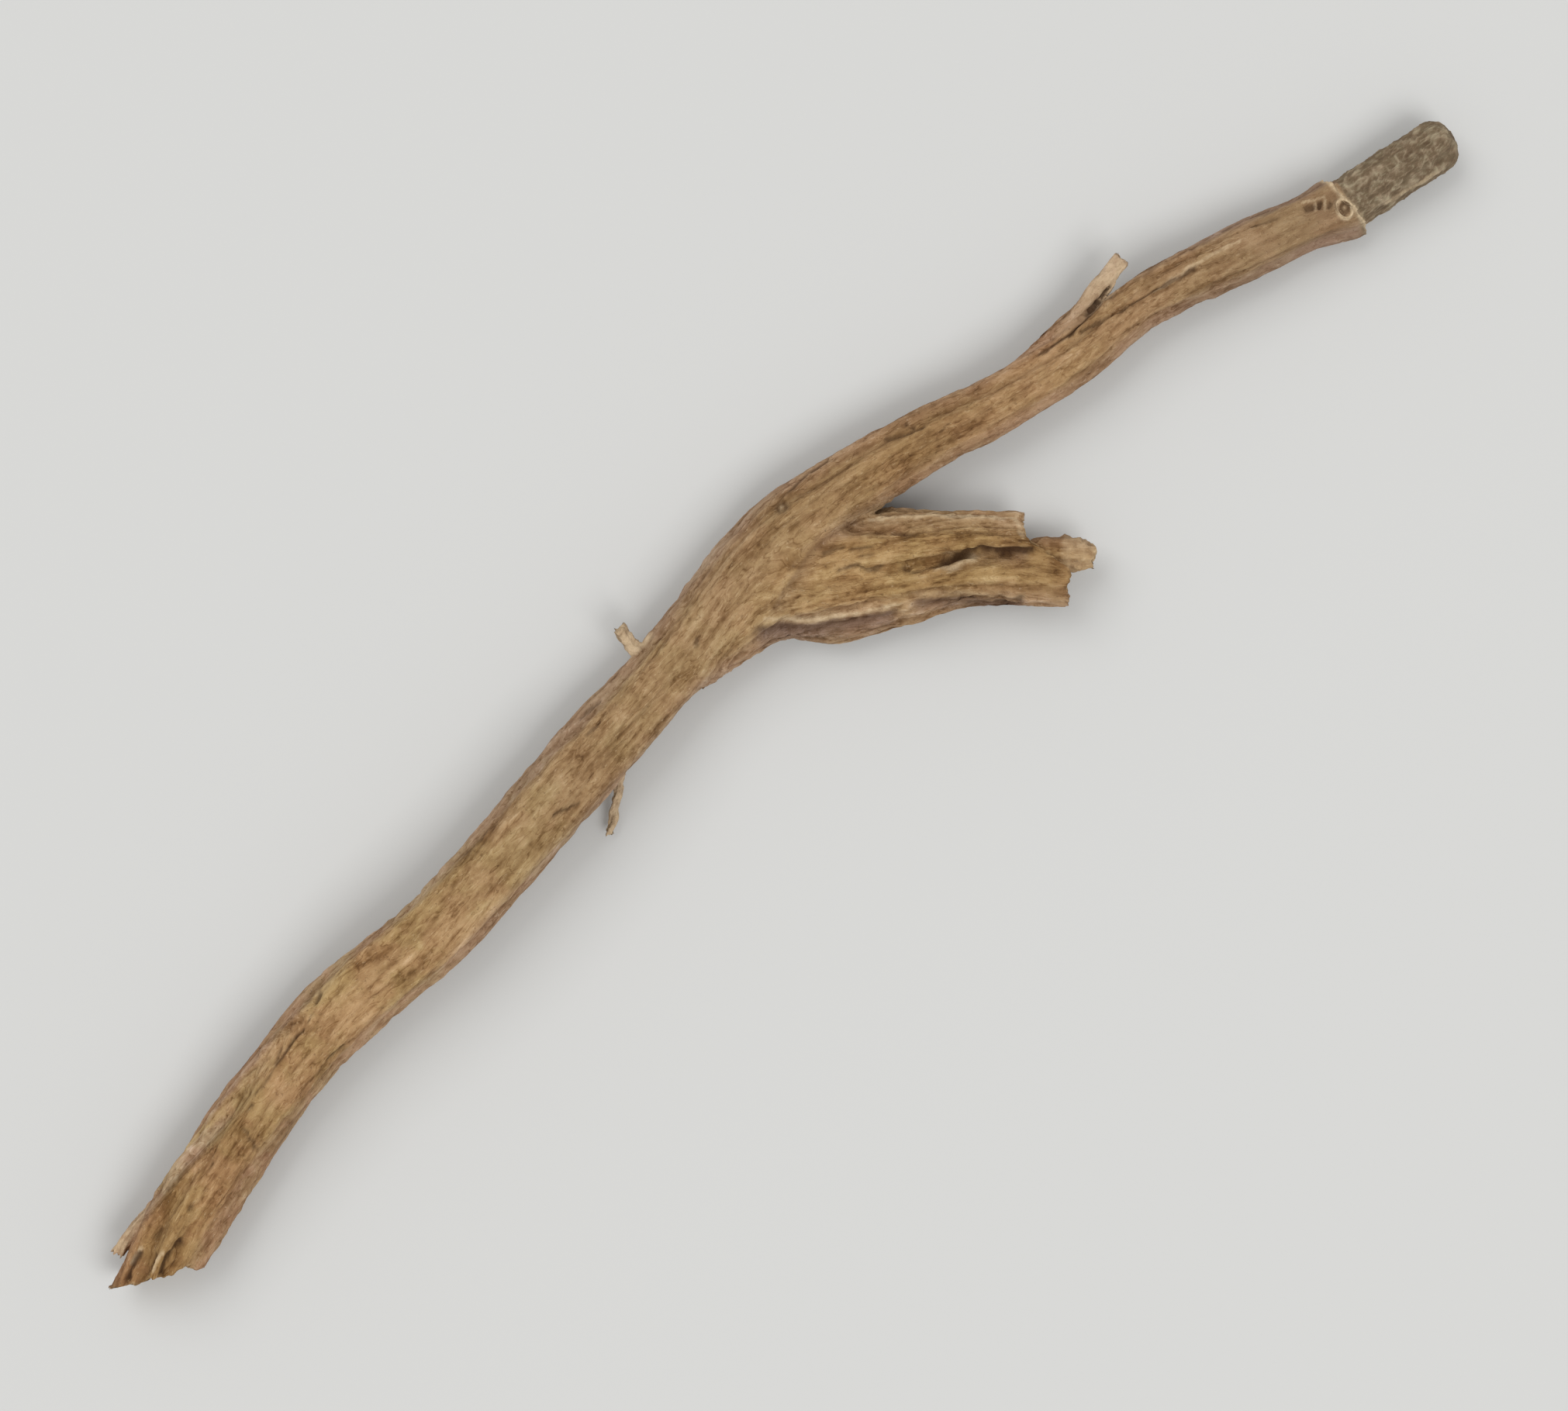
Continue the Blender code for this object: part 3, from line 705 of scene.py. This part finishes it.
def bark_relief(fibre, places):
    """The bark's relief in millimetres, its folds' depth from 0 to 1, and painted highlight and shade for its
    small relief from -1 to 1.
    """
    fold_fade = ease(0.4 + 1.6 * fibre_noise(fibre, 0.12, 0.5, (0.0, 0.0, 9.0)))
    folds = crest(fibre_noise(fibre, 0.17, 1.1, (5.0, 0.0, 0.0)), 0.09) * fold_fade
    lines = crest(fibre_noise(fibre, 0.32, 2.2), 0.12)
    cross = crest(fibre_noise(fibre, 1.5, 0.9, (0.0, 0.0, 21.0)), 0.06)
    dashes = fibre_noise(fibre, 0.8, 3.3, (0.0, 0.0, 3.0))
    knobs = fibre_noise(fibre, 3.0, 6.0, (0.0, 0.0, 11.0))
    bumps = noise_at(*(1.5 * places.T))
    rough = 0.5 + 0.5 * ease(0.5 + 1.5 * noise_at(*(0.33 * places.T + 40.0)))
    height = rough * (DASH_HEIGHT * dashes + KNOB_HEIGHT * knobs + BUMP_HEIGHT * bumps)
    height -= FOLD_DEPTH * folds + LINE_DEPTH * lines + CROSS_LINE_DEPTH * cross * rough
    small = rough * (0.7 * dashes + 0.7 * knobs + 0.25 * bumps) + 0.15 - 0.55 * lines - 0.4 * cross
    return height, folds, np.clip(small, -1.0, 1.0)


def tip_relief(fibre):
    """The tip's curly wrinkles, with painted highlights that make them stand out pale from a darker skin, as
    bark_relief gives them.
    """
    run, side, rise = fibre.T
    bend = 0.6 * fibre_noise(fibre, 1.1, 1.6, (0.0, 0.3, 17.4))
    curl = noise_at(1.7 * run + bend, 3.0 * side + 0.4, 3.0 * rise + 5.3)
    swell = fibre_noise(fibre, 2.2, 2.6, (0.0, 0.5, 23.5))
    before_end = ease((STEM_AXIS.length - run) / TIP_END_REACH)
    wrinkles = crest(curl, 0.11) * (0.5 + 0.5 * before_end) * ease(0.6 + 1.5 * swell)
    small = crest(fibre_noise(fibre, 3.2, 4.4, (0.0, 0.3, 9.4)), 0.1)
    rings = crest(np.sin(TIP_RING_PACE * run), 0.35) * (1.0 - before_end)
    height = WRINKLE_HEIGHT * wrinkles + FINE_WRINKLE_HEIGHT * small
    height += TIP_SWELL_HEIGHT * swell + TIP_RING_HEIGHT * rings - TIP_SUNK
    return height, np.clip(1.4 * wrinkles + 0.9 * small + 0.5 * rings + 0.4 * swell - 0.6, -1.0, 1.0)


def facing(normals, axis, distance):
    """How far each normal points the way that the axis runs at this distance, from -1 to 1."""
    return normals @ axis.frame(np.array([distance]))[0][0]


def scar_marks(places, upward):
    """The scar's ring, the hollow inside it and the pale spot in that, each from 0 to 1."""
    at = np.array([RIM - SCAR_BEFORE_RIM])
    centre = stem_surface(at, np.ones(1), np.radians([SCAR_ANGLE]))[0]
    along, across, _ = (way[0] for way in STEM_AXIS.frame(at))
    offset = places - centre
    far = np.hypot(offset @ along / (SCAR_LENGTH / 2), offset @ across / (SCAR_WIDTH / 2))
    ring = crest(far - 1.0, 0.21) * upward
    spot = crest(far, 0.3) * upward
    shaded_hollow = ease((0.85 - far) / 0.25) * upward - 0.8 * spot
    return ring, shaded_hollow, spot


def pit_marks(flat, upward):
    """The pit's ring and the pale heart inside it, each from 0 to 1."""
    far = np.linalg.norm(flat - np.array(PIT), axis=1)
    return crest(far - 0.75 * PIT_RADIUS, 0.1) * upward, crest(far, 0.4 * PIT_RADIUS) * upward


def on_thin_part(places, stations):
    """How far along a thin part each place is, and how far it belongs to it."""
    thin, part = Axis(stations).measure(places)
    return thin[:, 0], ease((1.5 - part) / 0.25)


def thin_part_marks(places, stem_part, arm_part, arm_run):
    """How pale the thin parts make each place, and how far it belongs to the torn splinter."""
    past_arm = ease((arm_run - ARM_AXIS.length - 0.5) / 0.4)
    outside = ease((stem_part - 0.99) / 0.08) * np.maximum(ease((arm_part - 0.99) / 0.08), past_arm)
    run, on_strip = on_thin_part(places, BARK_STRIP)
    torn = on_thin_part(places, SPLINTER)[1] * outside
    pale = np.maximum(0.6 * on_strip * ease((run - 5.0) / 3.5), 0.3 * torn)
    for stub in STUBS:
        pale = np.maximum(pale, 0.6 * on_thin_part(places, stub)[1] * outside)
    return pale, torn


def round_the_side(measures):
    """How far round its limb each place is: 0 on top or beneath, 1 on the side."""
    return np.abs(measures[:, 1]) / np.maximum(np.hypot(measures[:, 1], measures[:, 2]), 0.01)


def fibre_places(stem, arm, on_arm):
    """Where each place lies along and across the fibre, which turns from the stem into the side arm."""
    fork = np.array([FORK])
    from_arm_to_stem = (STEM_AXIS.measure(fork)[0] - ARM_AXIS.measure(fork)[0])[0]
    return stem + (arm + from_arm_to_stem - stem) * on_arm[:, None]


def bare_wood(normals, stem, stem_part, arm, arm_part):
    """1 on the two broken faces, 0 on bark."""
    at_start = ease((0.93 - stem_part) / 0.1) * ease((4.0 - stem[:, 0]) / 1.0)
    at_start *= ease((-facing(normals, STEM_AXIS, 0.0) - 0.25) / 0.3)
    at_arm_end = ease((0.93 - arm_part) / 0.1) * ease((arm[:, 0] - ARM_AXIS.length + 4.0) / 1.0)
    at_arm_end *= ease((facing(normals, ARM_AXIS, ARM_AXIS.length) - 0.25) / 0.3)
    return np.clip(at_start + at_arm_end, 0.0, 1.0)


def keep_inside(places):
    """The places, moved into the CAD part's box where they are outside it."""
    lowest, highest = np.array(cad_box) / MM - np.array(CENTRING)
    lowest[:2] += INSIDE_BOX
    return np.clip(places, lowest, highest - INSIDE_BOX)


def store_marks(mesh, marks, fibre):
    """The marks from 0 to 1, the relief's painted shading from -1 to 1 and the fibre, as attributes that the
    finish reads.
    """
    for name, values in marks.items():
        held = mesh.attributes.new(name, "FLOAT", "POINT")
        held.data.foreach_set("value", values.astype(np.float32))
    held = mesh.attributes.new("fibre", "FLOAT_VECTOR", "POINT")
    held.data.foreach_set("vector", fibre.astype(np.float32).ravel())


def finish_bark(mesh):
    """Moves relief, slits, rims, ledges, pit, scar and the tip's wrinkles into the skin, and marks them."""
    places = points_of(mesh)
    normals = normals_of(mesh)
    stem, stem_part = STEM_AXIS.measure(places)
    arm, arm_part = ARM_AXIS.measure(places)
    on_arm = ease((stem_part - arm_part + 0.3) / 0.6)
    fibre = fibre_places(stem, arm, on_arm)
    tip = ease((stem[:, 0] - RIM + 0.05) / 0.12)
    wood = bare_wood(normals, stem, stem_part, arm, arm_part)
    bark = (1.0 - tip) * (1.0 - wood)
    pale_thin, torn = thin_part_marks(places, stem_part, arm_part, arm[:, 0])

    height, folds, small = bark_relief(fibre, places)
    calm = 1.0 - NECK_CALM * crest(stem[:, 0] - RIM + NECK_BACK, NECK_REACH) * (1.0 - on_arm)
    height *= 1.0 + ARM_ROUGHER * on_arm
    height *= calm
    small *= 1.0 + ARM_ROUGHER * on_arm
    tip_height, tip_shading = np.zeros((2, len(places)))
    on_tip = np.flatnonzero(tip > 0.0)
    tip_height[on_tip], tip_shading[on_tip] = tip_relief(fibre[on_tip])
    height = bark * height + tip * tip_height
    small = (1.0 - tip) * small + tip * tip_shading
    ragged_tear = TEAR_HEIGHT * torn * noise_at(*(2.0 * places.T + 3.0))
    height += ragged_tear + FINE_TEAR_HEIGHT * torn * noise_at(*(5.0 * places.T))

    upward = ease((normals[:, 2] - 0.1) / 0.4)
    wander = np.stack([noise_at(*(1.7 * places.T)), noise_at(*(1.7 * places.T + 31.0))], axis=1)
    flat = places[:, :2] + MARK_WANDER * wander
    ragged = np.clip(1.0 + 1.1 * noise_at(*(2.6 * places.T + 8.0)), 0.45, 1.6)
    slits, slit_cores = line_marks(flat, upward * (1.0 - wood), SLITS, ragged, SLIT_FULL_DEPTH)
    rims, rim_cores = line_marks(flat, upward, RIMS, ragged, RIM_FULL_HEIGHT)
    # Painted shade past and under each ledge, and a painted highlight along its edge.
    drop, shade, shade_under_ledge, edge = ledge_marks(flat, upward)
    pit_ring, pit_heart = pit_marks(flat, upward)
    scar, scar_hollow, scar_spot = scar_marks(places, upward)
    height *= 1.0 - 0.8 * np.maximum(scar, scar_hollow)
    height += rims - slits - PIT_DEPTH * pit_ring
    height -= SCAR_HOLLOW_DEPTH * scar_hollow + SKIN_SUNK * (1.0 - scar)
    places += normals * height[:, None]
    places[:, 2] -= drop
    move_to(mesh, keep_inside(places))

    side = round_the_side(stem) * (1.0 - on_arm) + round_the_side(arm) * on_arm
    past_rim = stem[:, 0] - RIM - RIM_SLANT * stem[:, 1] / 1.2
    rim_lip = crest(past_rim + 0.08, 0.14) * (1.0 - on_arm) * (stem_part < 1.6)
    # Painted shade: the folds, slits, the pit's ring, the scar's hollow and the line under each ledge are
    # darkened towards a dark brown.
    shaded_hollow = 0.18 * folds * bark + 0.95 * slit_cores + 0.7 * pit_ring + 0.75 * scar_hollow + 0.5 * shade_under_ledge
    # The ledges' pale edge is a painted highlight; the other pale marks are the bark's own paler rims, lip,
    # pit heart, scar, spot and thin parts.
    pale = 0.6 * rim_cores + 0.9 * rim_lip + 0.5 * pit_heart + 0.22 * ragged * edge + 0.9 * scar
    pale += 0.6 * scar_spot + pale_thin
    marks = {
        "along": np.clip(stem[:, 0] / STEM_AXIS.length, 0.0, 1.0),
        "along_arm": np.clip(arm[:, 0] / ARM_AXIS.length, 0.0, 1.0),
        "on_arm": on_arm,
        "tip": tip,
        "wood": wood,
        # Painted highlights on raised relief and painted shade in its lines.
        "relief_shading": small,
        "shaded_hollow": np.clip(shaded_hollow, 0.0, 1.0),
        "pale": np.clip(pale, 0.0, 1.0),
        "shade": np.clip(shade, 0.0, 1.0),
        "calm": calm,
        # Painted cool shade on the limbs' flanks.
        "flank_shade": ease((side - 0.6) / 0.38) * (1.0 - tip),
    }
    store_marks(mesh, marks, fibre)


def linear(red, green, blue):
    """A colour given as it shows on a screen, 0 to 255, as the shader wants it."""
    shown = np.array([red, green, blue]) / 255.0
    return (*np.where(shown <= 0.04045, shown / 12.92, ((shown + 0.055) / 1.055) ** 2.4).tolist(), 1.0)


def add_node(tree, kind, inputs=None, **settings):
    made = tree.nodes.new(kind)
    for name, value in settings.items():
        setattr(made, name, value)
    for socket, value in (inputs or {}).items():
        if isinstance(value, bpy.types.NodeSocket):
            tree.links.new(value, made.inputs[socket])
        else:
            made.inputs[socket].default_value = value
    return made


def add_mark(tree, name):
    return add_node(tree, "ShaderNodeAttribute", attribute_name=name).outputs["Fac"]


def add_mix(tree, share, first, second, blend="MIX"):
    inputs = {0: share, 6: first, 7: second}
    return add_node(tree, "ShaderNodeMix", inputs, data_type="RGBA", blend_type=blend).outputs[2]


def add_range(tree, value, low, high, to_low=0.0, to_high=1.0):
    inputs = {0: value, 1: low, 2: high, 3: to_low, 4: to_high}
    return add_node(tree, "ShaderNodeMapRange", inputs, interpolation_type="SMOOTHSTEP").outputs[0]


def add_math(tree, operation, *values):
    return add_node(tree, "ShaderNodeMath", dict(enumerate(values)), operation=operation).outputs[0]


def add_noise(tree, vector, scale, detail, roughness):
    inputs = {"Vector": vector, "Scale": scale, "Detail": detail, "Roughness": roughness}
    return add_node(tree, "ShaderNodeTexNoise", inputs).outputs["Fac"]


def add_drawn_out(tree, vector, along):
    """The vector with its first direction shortened, which draws patterns out along it."""
    return add_node(tree, "ShaderNodeMapping", {"Vector": vector, "Scale": (along, 1.0, 1.0)}).outputs[0]


def add_band(tree, value, middle, half_width):
    """1 where the value is at its middle, down to 0 at half_width from it: thin lines that follow a noise."""
    away = add_math(tree, "ABSOLUTE", add_math(tree, "SUBTRACT", value, middle))
    return add_range(tree, away, 0.0, half_width, 1.0, 0.0)


def add_ramp(tree, value, stops):
    made = add_node(tree, "ShaderNodeValToRGB", {0: value})
    slots = made.color_ramp.elements
    for number, (position, colour) in enumerate(stops):
        slot = slots[number] if number < 2 else slots.new(position)
        slot.position = position
        slot.color = colour
    return made.outputs[0]


def add_weighted(tree, base, patterns, weights):
    """The base plus each named pattern less its middle, times its weight."""
    total = base - sum(weight * middle for _, middle, weight in weights)
    for name, _, weight in weights:
        total = add_math(tree, "MULTIPLY_ADD", patterns[name], weight, total)
    return total


def add_patterns(tree):
    """Every noise that the finish uses, each from 0 to 1 and most of them near 0.5."""
    fibre = add_node(tree, "ShaderNodeAttribute", attribute_name="fibre").outputs["Vector"]
    in_metres = add_node(tree, "ShaderNodeTexCoord").outputs["Object"]
    scaling = {0: in_metres, "Scale": 1.0 / MM}
    place = add_node(tree, "ShaderNodeVectorMath", scaling, operation="SCALE").outputs[0]
    drawn = add_drawn_out(tree, fibre, 0.26)
    drawn_long = add_drawn_out(tree, fibre, 0.12)
    dashed = add_drawn_out(tree, fibre, 0.3)
    wandering = add_noise(tree, drawn, 2.4, 2.0, 0.5)
    return {
        "relief_shading": add_mark(tree, "relief_shading"),
        "streaks": add_noise(tree, drawn, 1.3, 4.0, 0.6),
        "long_streaks": add_noise(tree, drawn_long, 2.1, 2.0, 0.5),
        "dashes": add_noise(tree, dashed, 3.4, 3.0, 0.65),
        "grain": add_noise(tree, dashed, 10.0, 3.0, 0.7),
        "mottle": add_noise(tree, place, 3.0, 6.0, 0.7),
        "patches": add_noise(tree, place, 0.45, 3.0, 0.6),
        "specks": add_noise(tree, place, 6.5, 2.0, 0.6),
        # Painted cracks: a dark line of painted shade with a painted highlight along one side, so that they
        # look embossed.
        "shaded_cracks": add_band(tree, wandering, 0.5, 0.022),
        "crack_highlights": add_band(tree, wandering, 0.545, 0.02),
    }


def add_bark_colour(tree, patterns):
    """Streaked browns that change along the limbs, with pale flecks and dark specks, painted cool shade on
    the flanks and painted shade past the ledges.
    """
    change = add_weighted(tree, 0.0, patterns, BARK_WEIGHTS)
    tone = add_math(tree, "ADD", add_math(tree, "MULTIPLY", change, add_mark(tree, "calm")), BARK_TONE)
    along = add_mark(tree, "along")
    stem_tint = add_ramp(tree, along, STEM_TINTS)
    arm_tint = add_ramp(tree, add_mark(tree, "along_arm"), ARM_TINTS)
    limb_tint = add_mix(tree, add_mark(tree, "on_arm"), stem_tint, arm_tint)
    colour = add_mix(tree, 1.0, add_ramp(tree, tone, BARK_TONES), limb_tint, "MULTIPLY")
    hue = add_mix(tree, add_range(tree, patterns["patches"], 0.4, 0.6), WARM_TINT, OLIVE_TINT)
    hue_strength = add_range(tree, along, 0.2, 0.45, 1.0, 0.45)
    flecks = add_range(tree, patterns["grain"], 0.6, 0.7, 0.0, 0.3)
    specks = add_range(tree, patterns["specks"], 0.62, 0.7, 0.0, 0.4)
    colour = add_mix(tree, hue_strength, colour, hue, "MULTIPLY")
    colour = add_mix(tree, flecks, colour, PALE_FLECK)
    colour = add_mix(tree, specks, colour, DARK_SPECK)
    colour = add_mix(tree, add_mark(tree, "flank_shade"), colour, FLANK_SHADE_TINT, "MULTIPLY")
    return add_mix(tree, add_mark(tree, "shade"), colour, SHADE_TINT, "MULTIPLY")


def add_tip_colour(tree, patterns):
    """The tip's greyer skin, between a rosy and an olive brown."""
    tone = add_weighted(tree, TIP_TONE, patterns, TIP_WEIGHTS)
    hue = add_mix(tree, add_range(tree, patterns["mottle"], 0.42, 0.6), TIP_ROSY_TINT, TIP_OLIVE_TINT)
    return add_mix(tree, 1.0, add_ramp(tree, tone, TIP_TONES), hue, "MULTIPLY")


def add_wood_colour(tree, patterns):
    """The paler wood of the broken faces."""
    return add_ramp(tree, add_weighted(tree, WOOD_TONE, patterns, WOOD_WEIGHTS), WOOD_TONES)


def bark_finish():
    """Dry bark with a greyer tip, torn wood and pale torn edges, painted shade in its hollows, and painted
    highlights and shade on its relief.
    """
    material = bpy.data.materials.new("dry_bark")
    material.use_nodes = True
    tree = material.node_tree
    surface = tree.nodes["Principled BSDF"]
    patterns = add_patterns(tree)
    mottle = patterns["mottle"]

    colour = add_bark_colour(tree, patterns)
    colour = add_mix(tree, add_mark(tree, "tip"), colour, add_tip_colour(tree, patterns))
    colour = add_mix(tree, add_mark(tree, "wood"), colour, add_wood_colour(tree, patterns))
    paleness = add_range(tree, mottle, 0.35, 0.6, 0.45, 1.0)
    pale = add_math(tree, "MULTIPLY", add_mark(tree, "pale"), paleness)
    # Painted shade in the hollows.
    shaded_hollow = add_math(tree, "MULTIPLY", add_mark(tree, "shaded_hollow"), HOLLOW_SHADE_STRENGTH)
    colour = add_mix(tree, pale, colour, PALE_FIBRE)
    colour = add_mix(tree, shaded_hollow, colour, HOLLOW_SHADE)
    tree.links.new(colour, surface.inputs["Base Color"])

    tree.links.new(add_range(tree, mottle, 0.3, 0.7, 0.8, 0.97), surface.inputs["Roughness"])
    surface.inputs["Specular IOR Level"].default_value = 0.25

    height = add_weighted(tree, 0.5, patterns, BUMP_WEIGHTS)
    bump = add_node(tree, "ShaderNodeBump", {"Height": height, "Strength": 0.8, "Distance": 0.12 * MM})
    tree.links.new(bump.outputs[0], surface.inputs["Normal"])
    return material


def tint(red, green, blue):
    """A stretch's colour as a part of the brightest stretch's."""
    stretch = np.array(linear(red, green, blue))
    brightest = np.array(linear(172, 142, 104))
    return tuple((stretch / brightest).tolist())


# How each pattern changes a tone: its name, the value that it varies about, and its weight.
BARK_WEIGHTS = (
    ("streaks", 0.5, 0.6),
    ("long_streaks", 0.5, 0.75),
    ("dashes", 0.5, 0.6),
    ("grain", 0.5, 0.35),
    ("mottle", 0.5, 0.45),
    # The relief's painted highlights and shade.
    ("relief_shading", 0.0, 0.24),
    # The cracks' painted shade and their painted highlight.
    ("shaded_cracks", 0.15, -0.17),
    ("crack_highlights", 0.15, 0.1),
)
TIP_WEIGHTS = (("grain", 0.5, 0.55), ("mottle", 0.5, 0.4), ("patches", 0.5, 0.12), ("relief_shading", 0.0, 0.29))
WOOD_WEIGHTS = (("grain", 0.5, 1.5), ("mottle", 0.5, 1.5))
BUMP_WEIGHTS = (("grain", 0.5, 0.9), ("mottle", 0.5, 0.8), ("specks", 0.5, -0.5))
BARK_TONE = 0.505
TIP_TONE = 0.46
WOOD_TONE = 0.5
HOLLOW_SHADE_STRENGTH = 0.85

# Tones from dark to light, and tints along the limbs.
BARK_TONES = (
    (0.0, linear(98, 68, 38)),
    (0.22, linear(130, 98, 62)),
    (0.42, linear(158, 126, 88)),
    (0.58, linear(175, 144, 104)),
    (0.78, linear(191, 161, 122)),
    (1.0, linear(212, 186, 150)),
)
STEM_TINTS = (
    (0.0, tint(156, 120, 80)),
    (0.12, tint(165, 132, 93)),
    (0.22, tint(171, 139, 98)),
    (0.36, tint(158, 130, 94)),
    (0.44, tint(158, 129, 93)),
    (0.52, tint(163, 134, 99)),
    (0.62, tint(154, 122, 84)),
    (0.74, tint(160, 127, 90)),
    (0.86, tint(154, 126, 94)),
    (0.93, tint(149, 122, 93)),
)
ARM_TINTS = (
    (0.0, tint(171, 141, 103)),
    (0.35, tint(167, 136, 97)),
    (0.55, tint(163, 131, 88)),
    (0.8, tint(159, 127, 84)),
    (1.0, tint(154, 122, 82)),
)
TIP_TONES = (
    (0.0, linear(78, 64, 46)),
    (0.3, linear(112, 95, 74)),
    (0.5, linear(134, 118, 96)),
    (0.7, linear(151, 136, 113)),
    (1.0, linear(180, 164, 138)),
)
WOOD_TONES = (
    (0.2, linear(122, 90, 56)),
    (0.5, linear(172, 140, 98)),
    (0.8, linear(204, 178, 138)),
)
WARM_TINT = (1.0, 0.97, 0.98, 1.0)
OLIVE_TINT = (0.94, 0.98, 0.9, 1.0)
SHADE_TINT = (0.6, 0.58, 0.72, 1.0)
TIP_ROSY_TINT = (1.0, 0.96, 0.93, 1.0)
TIP_OLIVE_TINT = (0.98, 1.0, 0.97, 1.0)
# The flanks' painted cool shade.
FLANK_SHADE_TINT = (0.99, 1.02, 1.28, 1.0)
PALE_FLECK = linear(206, 180, 142)
PALE_FIBRE = linear(214, 191, 156)
DARK_SPECK = linear(96, 68, 40)
# The dark brown of the painted shade in the hollows.
HOLLOW_SHADE = linear(66, 42, 23)


def paper_finish():
    """Plain, pale, matt paper."""
    material = bpy.data.materials.new("pale_floor")
    material.use_nodes = True
    surface = material.node_tree.nodes["Principled BSDF"]
    surface.inputs["Base Color"].default_value = linear(199, 199, 197)
    surface.inputs["Roughness"].default_value = 0.9
    surface.inputs["Specular IOR Level"].default_value = 0.2
    return material


def roll_stem():
    """The stem with its break, the swollen collar and the domed tip."""
    collar_starts = RIM - FINE_BEFORE_RIM
    dome_starts = STEM_AXIS.length - TIP_DOME
    rows = [(0.0, share) for share in END_SHARES]
    rows += [(stop, 1.0) for stop in even_stops(0.0, collar_starts, STEM_STEP)]
    rows += [(stop, 1.0) for stop in even_stops(collar_starts + COLLAR_STEP, RIM, COLLAR_STEP)]
    rows += [(stop, 1.0) for stop in (RIM + 0.02, RIM + 0.05)]
    rows += [(stop, 1.0) for stop in even_stops(RIM + 0.1, dome_starts, TIP_STEP)]
    rows += [(dome_starts + TIP_DOME * part, 1.0) for part in DOME_STEPS]
    rows += [(STEM_AXIS.length, share) for share in (1.0, 0.6, 0.25)]
    return roll_limb("valerian_root", rows, STEM_SIDES, stem_surface)


def roll_side_arm():
    """The short, broad side arm with its break."""
    rows = [(0.0, 0.2), (0.0, 0.6)]
    rows += [(stop, 1.0) for stop in even_stops(0.0, ARM_AXIS.length, ARM_STEP)]
    rows += [(ARM_AXIS.length, share) for share in reversed(END_SHARES)]
    return roll_limb("side_arm", rows, ARM_SIDES, arm_surface)


def roll_thin_part(name, stations):
    """The lifted bark strip, the torn splinter or a broken rootlet's stub."""
    axis = Axis(stations)
    rows = [(0.0, 0.3)]
    rows += [(stop, 1.0) for stop in even_stops(0.0, axis.length, THIN_STEP)]
    rows += [(axis.length, share) for share in (0.8, 0.5, 0.2)]
    return roll_limb(name, rows, THIN_SIDES, thin_surface(axis))


def build_root():
    """The whole root: its limbs joined into one skin, with its relief and its finish."""
    root = roll_stem()
    pieces = [roll_side_arm()]
    for number, stations in enumerate((BARK_STRIP, SPLINTER, *STUBS)):
        pieces.append(roll_thin_part(f"thin_{number}", stations))
    pieces.append(scar_ring())
    join_all(root, pieces)
    fill_fork(root.data)
    finish_bark(root.data)
    root.data.transform(Matrix.Scale(MM, 4) @ Matrix.Translation(CENTRING))
    root.data.shade_smooth()
    root.data.materials.clear()
    root.data.materials.append(bark_finish())
    return root


def build_floor():
    """A plain sheet that the root lies on."""
    work = bmesh.new()
    bmesh.ops.create_grid(work, x_segments=1, y_segments=1, size=FLOOR_SIZE)
    data = bpy.data.meshes.new("floor")
    work.to_mesh(data)
    work.free()
    data.materials.append(paper_finish())
    sheet = bpy.data.objects.new("floor", data)
    bpy.context.scene.collection.objects.link(sheet)
    return sheet


def add_softbox(name, place, size, power):
    """A square soft light that is aimed at the root."""
    lamp = bpy.data.lights.new(name, "AREA")
    lamp.shape = "SQUARE"
    lamp.size = size
    lamp.energy = power
    box = bpy.data.objects.new(name, lamp)
    box.location = place
    box.rotation_euler = (-Vector(place)).to_track_quat("-Z", "Y").to_euler()
    bpy.context.scene.collection.objects.link(box)


def light_studio():
    """Even, soft light: a key from the lower right, a fill from the upper left and a pale sky."""
    add_softbox("key", *KEY_LIGHT)
    add_softbox("fill", *FILL_LIGHT)
    world = bpy.data.worlds.new("studio")
    world.use_nodes = True
    sky = world.node_tree.nodes["Background"]
    sky.inputs["Color"].default_value = (1.0, 1.0, 1.0, 1.0)
    sky.inputs["Strength"].default_value = SKY_STRENGTH
    bpy.context.scene.world = world
    bpy.context.scene.view_settings.view_transform = "Standard"


def place_camera():
    """Straight down, as the photograph is taken, with the root filling most of the frame."""
    lens = bpy.data.cameras.new("camera")
    lens.lens = CAMERA_LENS
    lens.clip_start = CAMERA_CLIP
    camera = bpy.data.objects.new("camera", lens)
    camera.location = (0.0, 0.0, CAMERA_HEIGHT)
    bpy.context.scene.collection.objects.link(camera)
    bpy.context.scene.camera = camera


STEM_AXIS = Axis(STEM)
ARM_AXIS = Axis(ARM)
# How far along the stem the collar's rim is.
RIM = STEM_AXIS.length - RIM_TO_TIP

root = build_root()
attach(root, "root")
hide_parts("root")
floor = build_floor()
light_studio()
place_camera()
